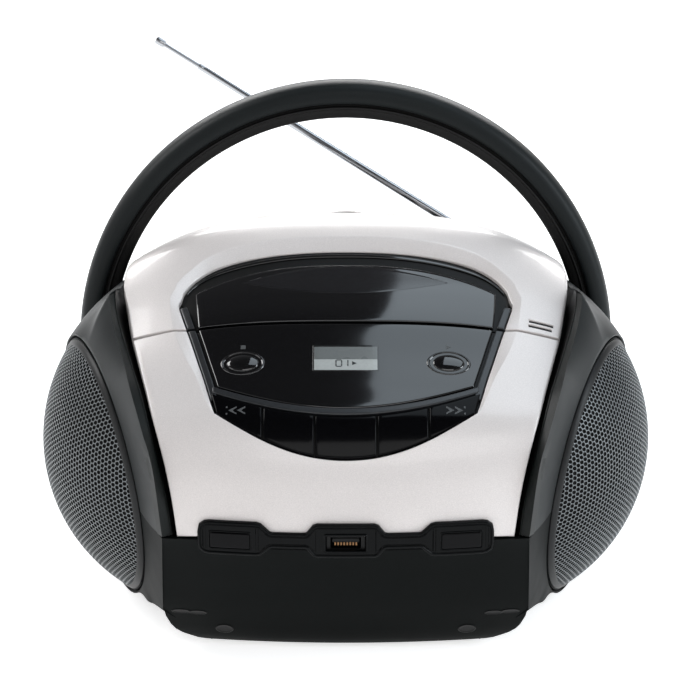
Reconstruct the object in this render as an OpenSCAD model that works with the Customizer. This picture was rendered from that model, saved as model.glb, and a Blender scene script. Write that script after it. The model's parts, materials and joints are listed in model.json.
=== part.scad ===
/* [Body] */
// Fullness of the crowned front and lid across their width
crown_power = 2.2; // [2:0.1:3]
// Thickness of the moulded skins
skin_t = 2.2; // [1.6:0.1:3]
// Wall of the charcoal housings
wall_t = 2.8; // [2:0.1:4]
// Height of the seam between the lower cabinet and the pods
seam_z = 63; // [60:0.5:66]
// Height of the rubber feet
foot_h = 1.5; // [1:0.5:3]

/* [Speakers] */
// Distance from the middle of the body to each grille's rim plane
speaker_x = 111.6; // [110:0.1:113]
// Radius of the grille's rim
grille_r = 59.3; // [56:0.1:60]
// Rise of the domed grille above its rim
grille_rise = 25.6; // [20:0.1:28]
// How far each speaker faces forward of straight sideways
speaker_yaw = 19.6; // [15:0.1:25]
// How far each speaker faces down
speaker_tilt = 7.8; // [5:0.1:10]

/* [Disc compartment] */
// Radius of the disc the player takes
disc_r = 60; // [60:60]
// Distance behind the datum of the disc's centre
disc_y = 17; // [15:0.5:19]
// Height of the turntable's seat
seat_z = 129.8; // [129:0.1:130.5]
// Radius of the pin that centres the disc
centring_r = 7.45; // [7.4:0.01:7.48]

/* [Handle] */
// Outer radius of the handle's arch
handle_r = 129; // [127:0.5:131]
// Inner radius of the handle's arch
handle_in_r = 112; // [111:0.5:114]
// Front to back width of the handle
handle_w = 22; // [18:1:24]
// Radius of the handle's pivot pins
pivot_r = 4; // [3:0.5:5]

/* [Antenna] */
// Radius of the lower tube
tube_r = 2.1; // [2:0.1:2.4]
// Length of the lower tube from its pivot
tube_len = 140; // [120:1:142]
// Angle of the antenna above level at rest
antenna_up = 28.1; // [26:0.1:29]
// Angle of the antenna behind straight left at rest
antenna_back = 18; // [16:1:20]

/* [Hidden] */

$fn = 64;
// The datum below the middle of the body lies this far ahead of the origin,
// which is under the middle of the whole bounding box, antenna included
datum_y = -29.11;

charcoal = [0.21, 0.23, 0.23];
dark = [0.1, 0.12, 0.12];
pearl = [0.8, 0.78, 0.77];
gloss = [0.03, 0.03, 0.035];
steel = [0.75, 0.76, 0.78];
board_green = [0.1, 0.35, 0.2];

// Front-to-top profile on the centre line, as distance back and height
centre_line = [[-111, 66], [-108.5, 80], [-103.5, 96], [-92, 112.5], [-75, 124], [-60, 133.5],
    [-45, 144], [-28, 152], [-10, 159], [10, 167], [27, 170.5], [45, 169.6], [62, 165], [80, 157.5]];
// The same stations along the skin's outer edge, and the half width there
edge_line = [[-103, 63], [-100, 80], [-95.5, 96], [-86, 110], [-70, 120], [-54, 127],
    [-40, 133], [-24, 140.5], [-8, 146.5], [8, 149.5], [24, 150.5], [42, 149], [60, 144], [78, 136]];
edge_half = [73, 75.5, 79, 83.5, 88, 92, 95.5, 98.5, 101, 102, 101, 96.5, 90, 82];
// Station of the seam between the front panel and the lid, and of the lid's rear edge
seam_t = 6;
rear_t = 13;

// ---------- helpers ----------

// Moves a sub-part from the body's datum to the frame's origin
module in_frame() {
    translate([0, datum_y, 0]) children();
}

// Smooth curve through a list of points or numbers
function curve(p, t) = let (
    n = len(p) - 1, i = min(max(floor(t), 0), n - 1), f = t - i,
    a = p[max(i - 1, 0)], b = p[i], c = p[i + 1], d = p[min(i + 2, n)])
    0.5 * (2 * b + (c - a) * f + (2 * a - 5 * b + 4 * c - d) * f * f
        + (3 * b - a - 3 * c + d) * f * f * f);

// Direction square to the skin, in the plane of the centre profile
function skin_normal(t) = let (
    v = curve(centre_line, min(t + 0.05, rear_t)) - curve(centre_line, max(t - 0.05, 0)))
    [0, -v[1], v[0]] / norm(v);

// A point of the crowned skin, raised by off
function skin(x, t, off = 0) = let (
    c = curve(centre_line, t), e = curve(edge_line, t),
    k = pow(abs(x) / curve(edge_half, t), crown_power + min(max(t / 9, 0), 1)),
    p = c + (e - c) * k)
    [x, p[0], p[1]] + off * skin_normal(t);

// Outline of the black window: half width at a station, and its arcs
function window_half(t) = 41.7 + 4.87 * t;
function window_top(x) = 8.5 - 0.45 * pow(abs(x) / 60, 2.2) - 0.9 * pow(abs(x) / 76, 14);
function key_bottom(x) = 2.1 + 1.1 * pow(x / 57, 2);
function ledge(x) = 3.17 + 0.6 * pow(x / 56, 2);

function mix(a, b, f) = a + (b - a) * f;

// Closed shell between two grids of points with the same rows and columns
module shell(outer, inner, flip = false) {
    rows = len(outer);
    cols = len(outer[0]);
    n = rows * cols;
    pts = [for (g = [outer, inner]) for (r = g) for (p = r) p];
    quads = concat(
        [for (i = [0 : rows - 2]) for (j = [0 : cols - 2])
            [i * cols + j, i * cols + j + 1, (i + 1) * cols + j + 1, (i + 1) * cols + j]],
        [for (i = [0 : rows - 2]) for (j = [0 : cols - 2])
            [n + i * cols + j, n + (i + 1) * cols + j, n + (i + 1) * cols + j + 1, n + i * cols + j + 1]],
        [for (i = [0 : rows - 2])
            [i * cols, (i + 1) * cols, n + (i + 1) * cols, n + i * cols]],
        [for (i = [0 : rows - 2])
            [(i + 1) * cols - 1, n + (i + 1) * cols - 1, n + (i + 2) * cols - 1, (i + 2) * cols - 1]],
        [for (j = [0 : cols - 2]) [j, n + j, n + j + 1, j + 1]],
        [for (j = [0 : cols - 2])
            [(rows - 1) * cols + j, (rows - 1) * cols + j + 1, n + (rows - 1) * cols + j + 1,
                n + (rows - 1) * cols + j]]);
    faces = [for (q = quads) for (tri = [[q[0], q[1], q[2]], [q[0], q[2], q[3]]])
        flip ? tri : [tri[2], tri[1], tri[0]]];
    polyhedron(points = pts, faces = faces);
}

// Convex solid round a list of points
module wrap(pts) {
    hull() polyhedron(points = pts, faces = [[for (i = [0 : len(pts) - 1]) i]]);
}

// Points moved towards a centre, for the inside of a wrapped shell
function shrink(pts, c, d) = [for (p = pts) p + d * (c - p) / norm(c - p)];
function both_sides(pts) = concat(pts, [for (p = pts) [-p[0], p[1], p[2]]]);

// A point given along the right speaker's axis, in the body's datum frame
function on_speaker(p) = let (
    a = 90 + speaker_tilt, c = -speaker_yaw,
    x = p[0] * cos(a) + p[2] * sin(a), z = p[2] * cos(a) - p[0] * sin(a))
    [speaker_x + x * cos(c) - p[1] * sin(c), x * sin(c) + p[1] * cos(c) - 15, 65.6 + z];

// Places a sub-part on a speaker's axis, with +Z out through the grille
module at_speaker(side) {
    mirror([side < 0 ? 1 : 0, 0, 0])
        translate([speaker_x, -15, 65.6])
            rotate([0, 90 + speaker_tilt, -speaker_yaw]) children();
}

// Places a sub-part on the skin at a station, with +Z square to the skin
module at_skin(x, t, off = 0) {
    n = skin_normal(t);
    translate(skin(x, t, off)) rotate([atan2(-n[1], n[2]), 0, 0]) children();
}

module tube(r_out, r_in, h) {
    difference() {
        cylinder(r = r_out, h = h);
        translate([0, 0, -1]) cylinder(r = r_in, h = h + 2);
    }
}

module x_rod(r, x0, x1, y, z) {
    translate([x0, y, z]) rotate([0, 90, 0]) cylinder(r = r, h = x1 - x0);
}

module box(lo, hi) {
    translate(lo) cube(hi - lo);
}

// ---------- housings ----------

// Rear edge of the cabinet and pods, just ahead of the handle's legs
pod_rear = 52;
cabinet_mid = [0, -20, 40];
pod_mid = [108, -15, 95];

cabinet_top = both_sides([for (s = [0 : 3]) [s * 26.5, -109 + 5 * pow(s / 3, 2), seam_z - 0.2]]);
cabinet_sides = both_sides(concat(
    [for (a = [90 : 15 : 180]) let (p = on_speaker([-61 * cos(a), 61 * sin(a), 0]))
        [p[0], p[1], min(p[2], seam_z - 0.2)]],
    [[79.4, -104, seam_z - 0.2], [81, -84, 21], [86, -67, 17], [91, -52, 14],
     [132, 43, seam_z - 0.2], [129, 52, seam_z - 0.2], [124, 52, 24], [110, 52, 7], [70, 52, 7]]));
tub_points = both_sides([[80.5, -87, 30], [40, -91.5, 30], [0, -92.8, 30], [79.5, -80, 17],
    [76, -76, 9], [70, -74, 5], [60, -71, foot_h], [40, -76.5, 5], [0, -79.5, 5],
    [80, pod_rear, 30], [80, pod_rear, 12], [74, pod_rear, 5], [66, pod_rear, foot_h]]);

// Points of an open-topped lining: those at the rim rise through it
function open_up(pts, z, by) = [for (p = pts) p[2] > z ? [p[0], p[1], p[2] + by] : p];

module lower_cabinet() in_frame() color(dark) difference() {
    union() {
        difference() {
            union() {
                wrap(concat(cabinet_top, cabinet_sides));
                wrap(tub_points);
            }
            wrap(open_up(shrink(concat(cabinet_top, cabinet_sides), cabinet_mid, wall_t + 1), 50, 20));
            wrap(shrink(tub_points, [0, -10, 22], wall_t));
        }
        for (p = screw_places) translate([p[0], p[1], foot_h]) cylinder(r = 4.5, h = boss_top - foot_h);
    }
    for (p = screw_places) translate([p[0], p[1], 0]) {
        cylinder(r = 3.4, h = foot_h + 2.4);
        cylinder(r = screw_r, h = boss_top + 1);
    }
    for (side = [-1, 1]) at_speaker(side) translate([0, 0, -70]) cylinder(r = 60, h = 90);
    box([-9.5, -120, 57.5], [9.5, -95, 67.5]);
    for (x = [-port_x, port_x]) translate([x, -120, port_z]) rotate([-90, 0, 0]) cylinder(r = 4.6, h = 30);
}

// Rail between each pod's face and its inner bevel, and the bevel's inner rail
pod_rail = [[79.4, -104, 63], [83.2, -101, 93], [88.4, -90, 107.5], [94, -76, 121.4],
    [97.5, -62, 128.5], [102, -46, 136.5], [105, -34, 143.5], [106.5, -24, 150]];
bevel_rail = [[75, -101.5, 63], [77.6, -98, 80], [83.4, -90, 102], [88.6, -76, 117],
    [94, -58, 126], [99.3, -42, 136], [102.8, -28, 143], [104, -20, 149]];
pod_points = concat(pod_rail, bevel_rail,
    [for (a = [-90 : 15 : 90]) let (p = on_speaker([-61.5 * cos(a), 61.5 * sin(a), 0]))
        [p[0], p[1], max(p[2], seam_z)]],
    [[79.4, -104, seam_z], [132, 43, seam_z], [129, 52, seam_z], [126, 52, 100], [108, 52, 122],
     [120.5, -8, 134.5], [104, 8, 141.5], [102, 52, 138], [95, 52, seam_z]]);

// Room for the lid's skirt inside each pod
lid_clear = [for (t = [5.9 : 0.35 : 8]) for (x = [60, curve(edge_half, t) + 0.6]) for (h = [-5.6, 12])
    let (e = curve(edge_line, t)) [x, e[0], e[1] + h]];

module pod(side) mirror([side < 0 ? 1 : 0, 0, 0]) difference() {
    wrap([for (p = pod_points) [p[0], p[1], max(p[2], seam_z + 0.2)]]);
    wrap([for (p = shrink(pod_points, pod_mid, wall_t + 0.6)) p[2] < 72 ? [p[0], p[1], 50] : p]);
    at_speaker(1) translate([0, 0, -70]) cylinder(r = 60, h = 90);
    wrap(lid_clear);
}

module left_pod() in_frame() color(charcoal) pod(-1);
module right_pod() in_frame() color(charcoal) pod(1);

// The rear cover, from the handle's legs back, rounded clear of the folding handle
rear_ring_1 = both_sides([[30, 82.6, 154.3], [60, 82.6, 149.3], [84, 82.6, 137], [97, 82.6, 128],
    [104, 82.6, 110], [105, 82.6, 20], [98, 82.6, 7], [86, 82.6, 3]]);
rear_ring_2 = both_sides([[30, 100, 147], [60, 100, 143], [80, 100, 134], [92, 100, 120],
    [96, 100, 100], [95, 100, 20], [86, 100, 3]]);
rear_ring_3 = both_sides([[30, 112, 134], [60, 112, 131], [74, 112, 124], [84, 112, 108],
    [86, 112, 90], [85, 112, 20], [76, 112, 9]]);
rear_ring_4 = both_sides([[30, 118, 118], [60, 118, 114], [70, 118, 100], [70, 118, 25], [62, 118, 14]]);
rear_points = concat(rear_ring_1, rear_ring_2, rear_ring_3, rear_ring_4);
side_points = both_sides([for (y = [pod_rear + 0.4, 84]) for (p = [[104, 131], [108, 122],
    [108, 20], [100, 7], [86, 3]]) [y > 80 ? p[0] - 3 : p[0], y, p[1]]]);
knuckle_y = 82;
knuckle_z = 152.5;
ear_r = 2.1;
swivel = [75, 114, 133];
knob_y = 97.5;

module rear_shell() difference() {
    union() {
        wrap(rear_points);
        wrap(side_points);
    }
    wrap(concat(shrink(rear_points, [0, 90, 75], wall_t + 0.5),
        shrink(side_points, [0, 90, 75], wall_t + 0.5)));
    box([-99, 40, 10], [99, 70, 125]);
}

inlet_x = 50;
inlet_z = 85;
wheel_z = 140.5;
wheel_r = 14;
door_pin = [115.5, 22];

module rear_cover() in_frame() color(dark) difference() {
    union() {
        rear_shell();
        for (x = [-55.5, 50.5]) {
            x_rod(ear_r, x, x + 5, knuckle_y, knuckle_z);
            box([x, knuckle_y + 0.4, 146], [x + 5, knuckle_y + 3.1, knuckle_z]);
        }
        translate([swivel[0], swivel[1], 108]) cylinder(r = 7, h = 16);
        translate([0, knob_y, 134]) cylinder(r = 15, h = 13.4);
        for (x = [18.5, 32.5]) box([x, knob_y - 3, 139], [x + 3, knob_y + 3, 147]);
        for (x = [-64, 60.4]) box([x, 112, 18.5], [x + 3.6, 117.5, 25.5]);
    }
    for (x = [-55.6, 50.4]) x_rod(1.5, x, x + 5.2, knuckle_y, knuckle_z);
    for (x = [-50.2, 37.8]) x_rod(4.3, x, x + 12.4, knuckle_y, knuckle_z);
    translate([swivel[0], swivel[1], 90]) cylinder(r = 4.05, h = 50);
    translate([swivel[0], swivel[1], 124.2]) cylinder(r = 7.3, h = 30);
    translate([0, disc_y, 118]) cylinder(r = well_r + 2, h = 20);
    x_rod(pivot_r + 0.05, -120, 120, 68, 100);
    translate([0, knob_y, 147.4]) cylinder(r = 14, h = 20);
    translate([0, knob_y, 130]) cylinder(r = 3.05, h = 30);
    box([-35, knob_y - 2, 130], [-15, knob_y + 2, 170]);
    box([-35, knob_y - 4, 148.2], [-15, knob_y + 4, 170]);
    box([23.8, knob_y - wheel_r - 0.8, 126], [30.2, knob_y + wheel_r + 0.8, 170]);
    x_rod(1.55, 17, 37, knob_y, wheel_z);
    box([-60.3, 110, 18.2], [60.3, 130, 66.3]);
    x_rod(1.25, -63.2, 63.2, door_pin[0], door_pin[1]);
    box([inlet_x - 9, 104, inlet_z - 7.5], [inlet_x + 9, 130, inlet_z + 7.5]);
}

foot_places = [[-50, -60], [50, -60], [-62, 93], [62, 93]];

module feet() in_frame() color([0.06, 0.06, 0.06])
    for (p = foot_places) translate([p[0], p[1], 0]) cylinder(r = 7, h = p[1] < 0 ? foot_h : 3);

// Self-tapping screws up into the cabinet's bosses, heads sunk in the base
screw_places = [[-40, -50], [40, -50], [-40, 30], [40, 30]];
screw_r = 1.5;
boss_top = 14;

module case_screws() in_frame() color(steel)
    for (p = screw_places) translate([p[0], p[1], foot_h + 1]) {
        cylinder(r = screw_r, h = boss_top - foot_h - 2);
        cylinder(r = 3, h = 1.4);
    }

// ---------- silver front and black control panel ----------

side_steps = 8;
arc_steps = 22;

// Window edge and outer edge of the front panel, from seam to seam round the bottom
inner_t = [for (i = [0 : side_steps - 1]) mix(seam_t - 0.03, 3.3, i / side_steps)];
outer_t = [for (i = [0 : side_steps - 1]) mix(seam_t - 0.03, 0, i / side_steps)];
front_inner = concat(
    [for (t = inner_t) [-window_half(t), t]],
    [for (i = [0 : arc_steps]) let (x = mix(-57, 57, i / arc_steps)) [x, key_bottom(x)]],
    [for (i = [side_steps - 1 : -1 : 0]) [window_half(inner_t[i]), inner_t[i]]]);
front_outer = concat(
    [for (t = outer_t) [-curve(edge_half, t), t]],
    [for (i = [0 : arc_steps]) let (x = mix(-73, 73, i / arc_steps)) [x, 0]],
    [for (i = [side_steps - 1 : -1 : 0]) [curve(edge_half, outer_t[i]), outer_t[i]]]);

function strip_row(a, b, f, off) = [for (i = [0 : len(a) - 1])
    skin(mix(a[i][0], b[i][0], f), mix(a[i][1], b[i][1], f), off)];

// Columns of a strip shell, with a skirt turned in along its outer edge
function strip_grid(a, b, off, skirt) = concat(
    [for (f = [0, 0.25, 0.5, 0.75, 1]) strip_row(a, b, f * (off < 0 ? 0.985 : 1), off)],
    [[for (p = strip_row(a, b, off < 0 ? 0.985 : 1, off)) p + skirt]]);

module front_panel() in_frame() color(pearl) difference() {
    shell(strip_grid(front_inner, front_outer, 0, [0, 4, -1.5]),
        strip_grid(front_inner, front_outer, -skin_t, [0, 3, -1.5]), flip = true);
    box([-90, -120, 50], [90, -90, seam_z - 0.1]);
    box([-9.5, -120, 57.5], [9.5, -95, 67.5]);
    for (x = [-port_x, port_x]) translate([x, -120, port_z]) rotate([-90, 0, 0]) cylinder(r = 4.6, h = 30);
}

// Shell of a black panel between two station arcs and two half widths
module black_panel(t_low, t_high, half_low, half_high, off) {
    function at(i, j, o) = let (
        r = j / 10, x = mix(-1, 1, i / 24) * mix(half_low, half_high, r),
        t = t_low ? mix(ledge(x), t_high, r) : mix(seam_t + 0.05, window_top(x) - t_high, r))
        skin(x, t, o);
    shell([for (j = [0 : 10]) [for (i = [0 : 24]) at(i, j, off)]],
        [for (j = [0 : 10]) [for (i = [0 : 24]) at(i, j, off - 2)]]);
}

button_x = 45;
button_t = 4.72;
lcd_t = 4.87;

module control_panel() in_frame() color(gloss) difference() {
    black_panel(true, seam_t - 0.06, 59.3, 70.1, -1.5);
    for (x = [-button_x, button_x]) at_skin(x, button_t, -9) cylinder(r = 6.7, h = 20);
    at_skin(0, lcd_t, -9) box([-14.5, -7, 0], [14.5, 7, 20]);
}

module lcd_lens() in_frame() color([0.8, 0.85, 0.85, 0.5])
    at_skin(0, lcd_t, -3.2) box([-14.2, -6.7, 0], [14.2, 6.7, 1.4]);

module lcd_module() in_frame() color([0.3, 0.32, 0.3])
    at_skin(0, lcd_t, -9.5) box([-19, -10, 0], [19, 10, 4.6]);

// Piano keys along the bottom of the panel
key_edges = [-59, -36, -13.5, 13.5, 36, 59];

module key(i) {
    function at(a, b, o) = let (
        r = b / 5,
        x0 = i == 0 ? -mix(56, 58.8, r) : key_edges[i] + 0.25,
        x1 = i == 4 ? mix(56, 58.8, r) : key_edges[i + 1] - 0.25,
        x = mix(x0, x1, a / 6), t = mix(key_bottom(x) + 0.05, ledge(x) - 0.045, r))
        skin(x, t, o);
    shell([for (b = [0 : 5]) [for (a = [0 : 6]) at(a, b, -0.8)]],
        [for (b = [0 : 5]) [for (a = [0 : 6]) at(a, b, -6.5)]]);
}

module back_key() in_frame() color(gloss) key(0);
module mix_key() in_frame() color(gloss) key(1);
module repeat_key() in_frame() color(gloss) key(2);
module program_key() in_frame() color(gloss) key(3);
module next_key() in_frame() color(gloss) key(4);

module round_button(x) at_skin(x, button_t, -7.5) cylinder(r = 6.3, h = 5.6);

module stop_button() in_frame() color(gloss) round_button(-button_x);
module play_button() in_frame() color(gloss) round_button(button_x);

module key_board() in_frame() color(board_green)
    translate([0, -80.5, 99]) rotate([37, 0, 0]) box([-54, -12, -1.6], [54, 12, 0]);

// ---------- ports ----------

port_z = 63.2;
strip_r = 333;

port_x = 49.5;

// Places a sub-part on the strip's curved face over a jack, with -Y outwards
module at_port(side) {
    r = strip_r + 2.4;
    translate([side * port_x, strip_r - 111 - sqrt(r * r - port_x * port_x), 0])
        rotate([0, 0, side * asin(port_x / r)]) children();
}

// Front outline of the port strip: three bulges joined by narrow bands
module strip_outline() {
    for (x = [-49, 0, 49]) translate([x, port_z + 0.6]) {
        w = x == 0 ? 16.5 : 15.5;
        polygon([[-w, -3], [4.5 - w, -7.5], [w - 4.5, -7.5], [w, -3], [w, 3],
            [w - 4.5, 7.5], [4.5 - w, 7.5], [-w, 3]]);
    }
    translate([-49, port_z - 2.9]) square([98, 7]);
}

module port_strip() in_frame() color(gloss) difference() {
    intersection() {
        rotate([90, 0, 0]) translate([0, 0, 90]) linear_extrude(40) strip_outline();
        translate([0, strip_r - 111, 50]) difference() {
            cylinder(r = strip_r + 2.4, h = 30, $fn = 1440);
            translate([0, 0, -1]) cylinder(r = strip_r + 0.5, h = 32, $fn = 1440);
        }
    }
    box([-8.6, -120, 58.8], [8.6, -95, 67.6]);
    for (side = [-1, 1]) at_port(side) box([-10.4, -3, 58.7], [10.4, 9, 67.7]);
}

// Flat flap over a jack, hinged on its outer short edge
module port_flap(side) at_port(side) {
    box([-10, -0.1, 59.1], [10, 0.9, 67.3]);
    translate([side * 9.6, 0.4, 59.1]) cylinder(r = 0.75, h = 8.2);
}

module left_port_flap() in_frame() color(gloss) port_flap(-1);
module right_port_flap() in_frame() color(gloss) port_flap(1);

module usb_socket() in_frame() color(steel) {
    difference() {
        box([-8.2, -111, 59.2], [8.2, -92, 67.2]);
        box([-6.6, -112, 60.6], [6.6, -93, 65.8]);
    }
    box([-5.6, -109.5, 63], [5.6, -92.5, 64.8]);
}

jack_bore = 1.8;

module jack(x) translate([x, -106.5, port_z]) rotate([-90, 0, 0]) {
    tube(4, jack_bore, 14);
    translate([0, 0, 14]) cylinder(r = 4, h = 2);
}

module aux_jack() in_frame() color(dark) jack(-port_x);
module headphone_jack() in_frame() color(dark) jack(port_x);

// ---------- speakers ----------

dome_r = (grille_r * grille_r + grille_rise * grille_rise) / (2 * grille_rise);

module grille() translate([0, 0, 0.2]) difference() {
    translate([0, 0, grille_rise - dome_r]) sphere(r = dome_r, $fn = 96);
    translate([0, 0, grille_rise - dome_r]) sphere(r = dome_r - 1.2, $fn = 96);
    translate([0, 0, -200]) cylinder(r = 200, h = 200);
}

module baffle() rotate_extrude($fn = 96)
    polygon([[49, -9], [59.7, -9], [59.7, 0], [57, 0], [55, -4], [49, -4]]);

module speaker_frame() rotate_extrude($fn = 96)
    polygon([[46, -9.3], [55, -9.3], [55, -11.5], [49, -11.5], [26, -34], [8, -34], [8, -32],
        [24.5, -32], [46, -12]]);

module speaker_magnet() translate([0, 0, -49]) cylinder(r = 24, h = 14.8);

module speaker_cone() rotate_extrude($fn = 96)
    polygon([[0, -22.5], [4, -23], [10, -26.5], [42, -11.2], [43, -10.2], [44, -11], [43.4, -13],
        [11, -28.5], [7, -30], [0, -30]]);

module left_grille() in_frame() color([0.3, 0.31, 0.32]) at_speaker(-1) grille();
module right_grille() in_frame() color([0.3, 0.31, 0.32]) at_speaker(1) grille();
module left_baffle() in_frame() color(dark) at_speaker(-1) baffle();
module right_baffle() in_frame() color(dark) at_speaker(1) baffle();
module left_speaker_frame() in_frame() color(steel) at_speaker(-1) speaker_frame();
module right_speaker_frame() in_frame() color(steel) at_speaker(1) speaker_frame();
module speaker_magnets() in_frame() color([0.2, 0.2, 0.2])
    for (side = [-1, 1]) at_speaker(side) speaker_magnet();
module left_speaker_cone() in_frame() color([0.12, 0.12, 0.12]) at_speaker(-1) speaker_cone();
module right_speaker_cone() in_frame() color([0.12, 0.12, 0.12]) at_speaker(1) speaker_cone();

// ---------- disc compartment ----------

deck_z = 135.5;
floor_z = 126;
well_r = disc_r + 1.5;
deck_half = [[0, -46], [58, -46], [66, -39], [86, -8], [91, 20], [86, 50], [79, 68], [74, 78], [0, 78]];
// Top of the rear cover's shelf, which the deck's rear posts stand on
rear_plate_z = 131.05;
post_places = [[-60, -38], [60, -38], [-54, 74], [54, 74]];

module disc_deck() in_frame() color(gloss) difference() {
    union() {
        translate([0, 0, deck_z - 2])
            linear_extrude(2) polygon(concat(deck_half, [for (i = [len(deck_half) - 1 : -1 : 0])
                [-deck_half[i][0], deck_half[i][1]]]));
        translate([0, disc_y, floor_z - 2]) cylinder(r = well_r + 1.5, h = deck_z - floor_z + 2);
        for (p = post_places) {
            foot = p[1] < 0 ? 10 : rear_plate_z;
            translate([p[0], p[1], foot]) cylinder(r = 3.5, h = deck_z - 1 - foot);
        }
    }
    translate([0, disc_y, floor_z]) cylinder(r = well_r, h = 20);
    translate([0, disc_y, floor_z - 5]) cylinder(r = 15.5, h = 20);
    box([-14, -43, floor_z - 5], [14, 2, floor_z + 1]);
}

plate_z = 114;

module mechanism_plate() in_frame() color(steel) difference() {
    union() {
        box([-42, -50, plate_z - 1.5], [42, 60, plate_z]);
        for (x = [-17, 17]) for (y = [-49, 3]) box([x - 2.6, y, plate_z - 1], [x + 2.6, y + 3, 122.5]);
        for (p = [[-38, 56], [38, 56], [-34, -34], [34, -34]])
            translate([p[0], p[1], plate_z - 1]) cylinder(r = 3, h = floor_z - 2.2 - plate_z + 1);
    }
    for (x = [-17, 17]) translate([x, -60, 119.8]) rotate([-90, 0, 0]) cylinder(r = 1.5, h = 80);
    translate([0, disc_y, 100]) cylinder(r = 5, h = 30);
    translate([pinion_x, pinion_y, 100]) cylinder(r = 1.6, h = 30);
}

module spindle_motor() in_frame() color(steel)
    translate([0, disc_y, 102]) cylinder(r = 12, h = plate_z - 1.7 - 102);

// Turntable with the pin that centres the disc
module turntable() in_frame() color([0.5, 0.5, 0.5]) translate([0, disc_y, 0]) {
    translate([0, 0, 113]) cylinder(r = 1.5, h = 14);
    translate([0, 0, 126.8]) cylinder(r = 14, h = seat_z - 126.8);
    translate([0, 0, seat_z - 1]) cylinder(r = centring_r, h = 2.8);
}

module guide_rods() in_frame() color(steel)
    for (x = [-17, 17]) translate([x, -49, 119.8]) rotate([-90, 0, 0]) cylinder(r = 1.5, h = 55);

// Rack and pinion that drive the sled
tooth = PI;
pinion_x = 29.1;
rack_x = 21.9;
pinion_y = -22;

module laser_sled() in_frame() color([0.15, 0.15, 0.17]) difference() {
    union() {
        box([-20, -20, 117.4], [20, 2.4, 122.2]);
        box([-11, -15, 122], [11, -1.5, 124.6]);
        translate([0, -8, 124]) cylinder(r = 4, h = 3.6);
        box([19.9, -27, 118.4], [rack_x, 9, 121]);
        for (i = [0 : 10]) translate([rack_x, pinion_y + (i - 1) * tooth, 118.4])
            linear_extrude(2.6) polygon([[-0.1, -0.95], [2.1, -0.35], [2.1, 0.35], [-0.1, 0.95]]);
    }
    for (x = [-17, 17]) translate([x, -30, 119.8]) rotate([-90, 0, 0]) cylinder(r = 1.55, h = 50);
}

module drive_pinion() in_frame() color([0.9, 0.9, 0.85]) translate([pinion_x, pinion_y, 118.2]) {
    linear_extrude(3) {
        circle(r = 4.8);
        for (i = [0 : 11]) rotate([0, 0, (i + 0.5) * 30])
            polygon([[4.6, -0.95], [7, -0.3], [7, 0.3], [4.6, 0.95]]);
    }
    translate([0, 0, -5.8]) cylinder(r = 1.5, h = 6.3);
}

module sled_motor() in_frame() color(steel)
    translate([pinion_x, pinion_y, 100]) cylinder(r = 8, h = plate_z - 1.7 - 100);

// ---------- lid ----------

lid_inner = concat(
    [for (i = [0 : 3]) let (t = mix(seam_t + 0.03, 6.9, i / 4)) [-window_half(t), t]],
    [for (i = [0 : 26]) let (x = mix(-76, 76, i / 26)) [x, window_top(x)]],
    [for (i = [3 : -1 : 0]) let (t = mix(seam_t + 0.03, 6.9, i / 4)) [window_half(t), t]]);
lid_outer = concat(
    [for (i = [0 : 3]) let (t = mix(seam_t + 0.03, 8, i / 4)) [-curve(edge_half, t), t]],
    [for (i = [0 : 7]) let (t = mix(8, rear_t, i / 8)) [-curve(edge_half, t), t]],
    [for (i = [0 : 10]) let (x = mix(-82, 82, i / 10)) [x, rear_t]],
    [for (i = [7 : -1 : 0]) let (t = mix(8, rear_t, i / 8)) [curve(edge_half, t), t]],
    [for (i = [3 : -1 : 0]) let (t = mix(seam_t + 0.03, 8, i / 4)) [curve(edge_half, t), t]]);

function lid_grid(off, drop) = concat(
    [for (f = [0, 0.14, 0.32, 0.52, 0.74, 0.9, 1])
        strip_row(lid_inner, lid_outer, f * (off < 0 ? 0.98 : 1), off)],
    [[for (p = strip_row(lid_inner, lid_outer, off < 0 ? 0.98 : 1, off)) p - [0, 0, drop]]]);

module disc_lid() in_frame() color(pearl) difference() {
    union() {
        shell(lid_grid(0, 4.5), lid_grid(-skin_t, 2.3));
        for (x = [-49.5, 38.5]) x_rod(3.5, x, x + 11, knuckle_y, knuckle_z);
    }
    for (x = [-50.5, 37.5]) x_rod(1.56, x, x + 13, knuckle_y, knuckle_z);
}

module lid_window() in_frame() color(gloss) black_panel(false, 0.06, 69.6, 74.2, -1.8);

liner_z = 138;

module lid_liner() in_frame() color(gloss) {
    difference() {
        translate([0, disc_y, liner_z]) cylinder(r = 53, h = 2);
        translate([0, disc_y, liner_z - 1]) cylinder(r = 9.2, h = 4);
    }
    for (p = [[-36, 45], [36, 45], [-30, -18], [30, -18]])
        translate([p[0], p[1], liner_z + 1]) cylinder(r = 3, h = p[1] > 0 ? 26.4 : 11.1);
}

module disc_clamp() in_frame() color([0.2, 0.2, 0.2]) translate([0, disc_y, 0]) {
    translate([0, 0, 131.8]) cylinder(r = 13, h = 4.4);
    translate([0, 0, 135]) cylinder(r = 8.8, h = 6);
    translate([0, 0, 140.6]) cylinder(r = 12, h = 1.6);
}

module hinge_pins() in_frame() color(steel)
    for (x = [-55.5, 38.5]) x_rod(1.5, x, x + 17, knuckle_y, knuckle_z);

// ---------- electronics and power ----------

module main_board() in_frame() color(board_green) {
    box([-46, -64, 92], [46, 44, 93.6]);
    box([-14, -30, 93.6], [14, -14, 96]);
    for (p = [[-30, 10], [-18, 10], [30, 16]]) translate([p[0], p[1], 93.5]) cylinder(r = 4, h = 7);
}

module transformer() in_frame() color([0.25, 0.25, 0.27]) {
    box([-24, -42, 8], [24, -6, 48]);
    box([-34, -30, 8], [34, -18, 40]);
}

module battery_springs() in_frame() color(steel)
    for (x = [-45, -15, 15, 45]) translate([x, 66, 40]) rotate([-90, 0, 0]) cylinder(r1 = 9, r2 = 4, h = 8);

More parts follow.
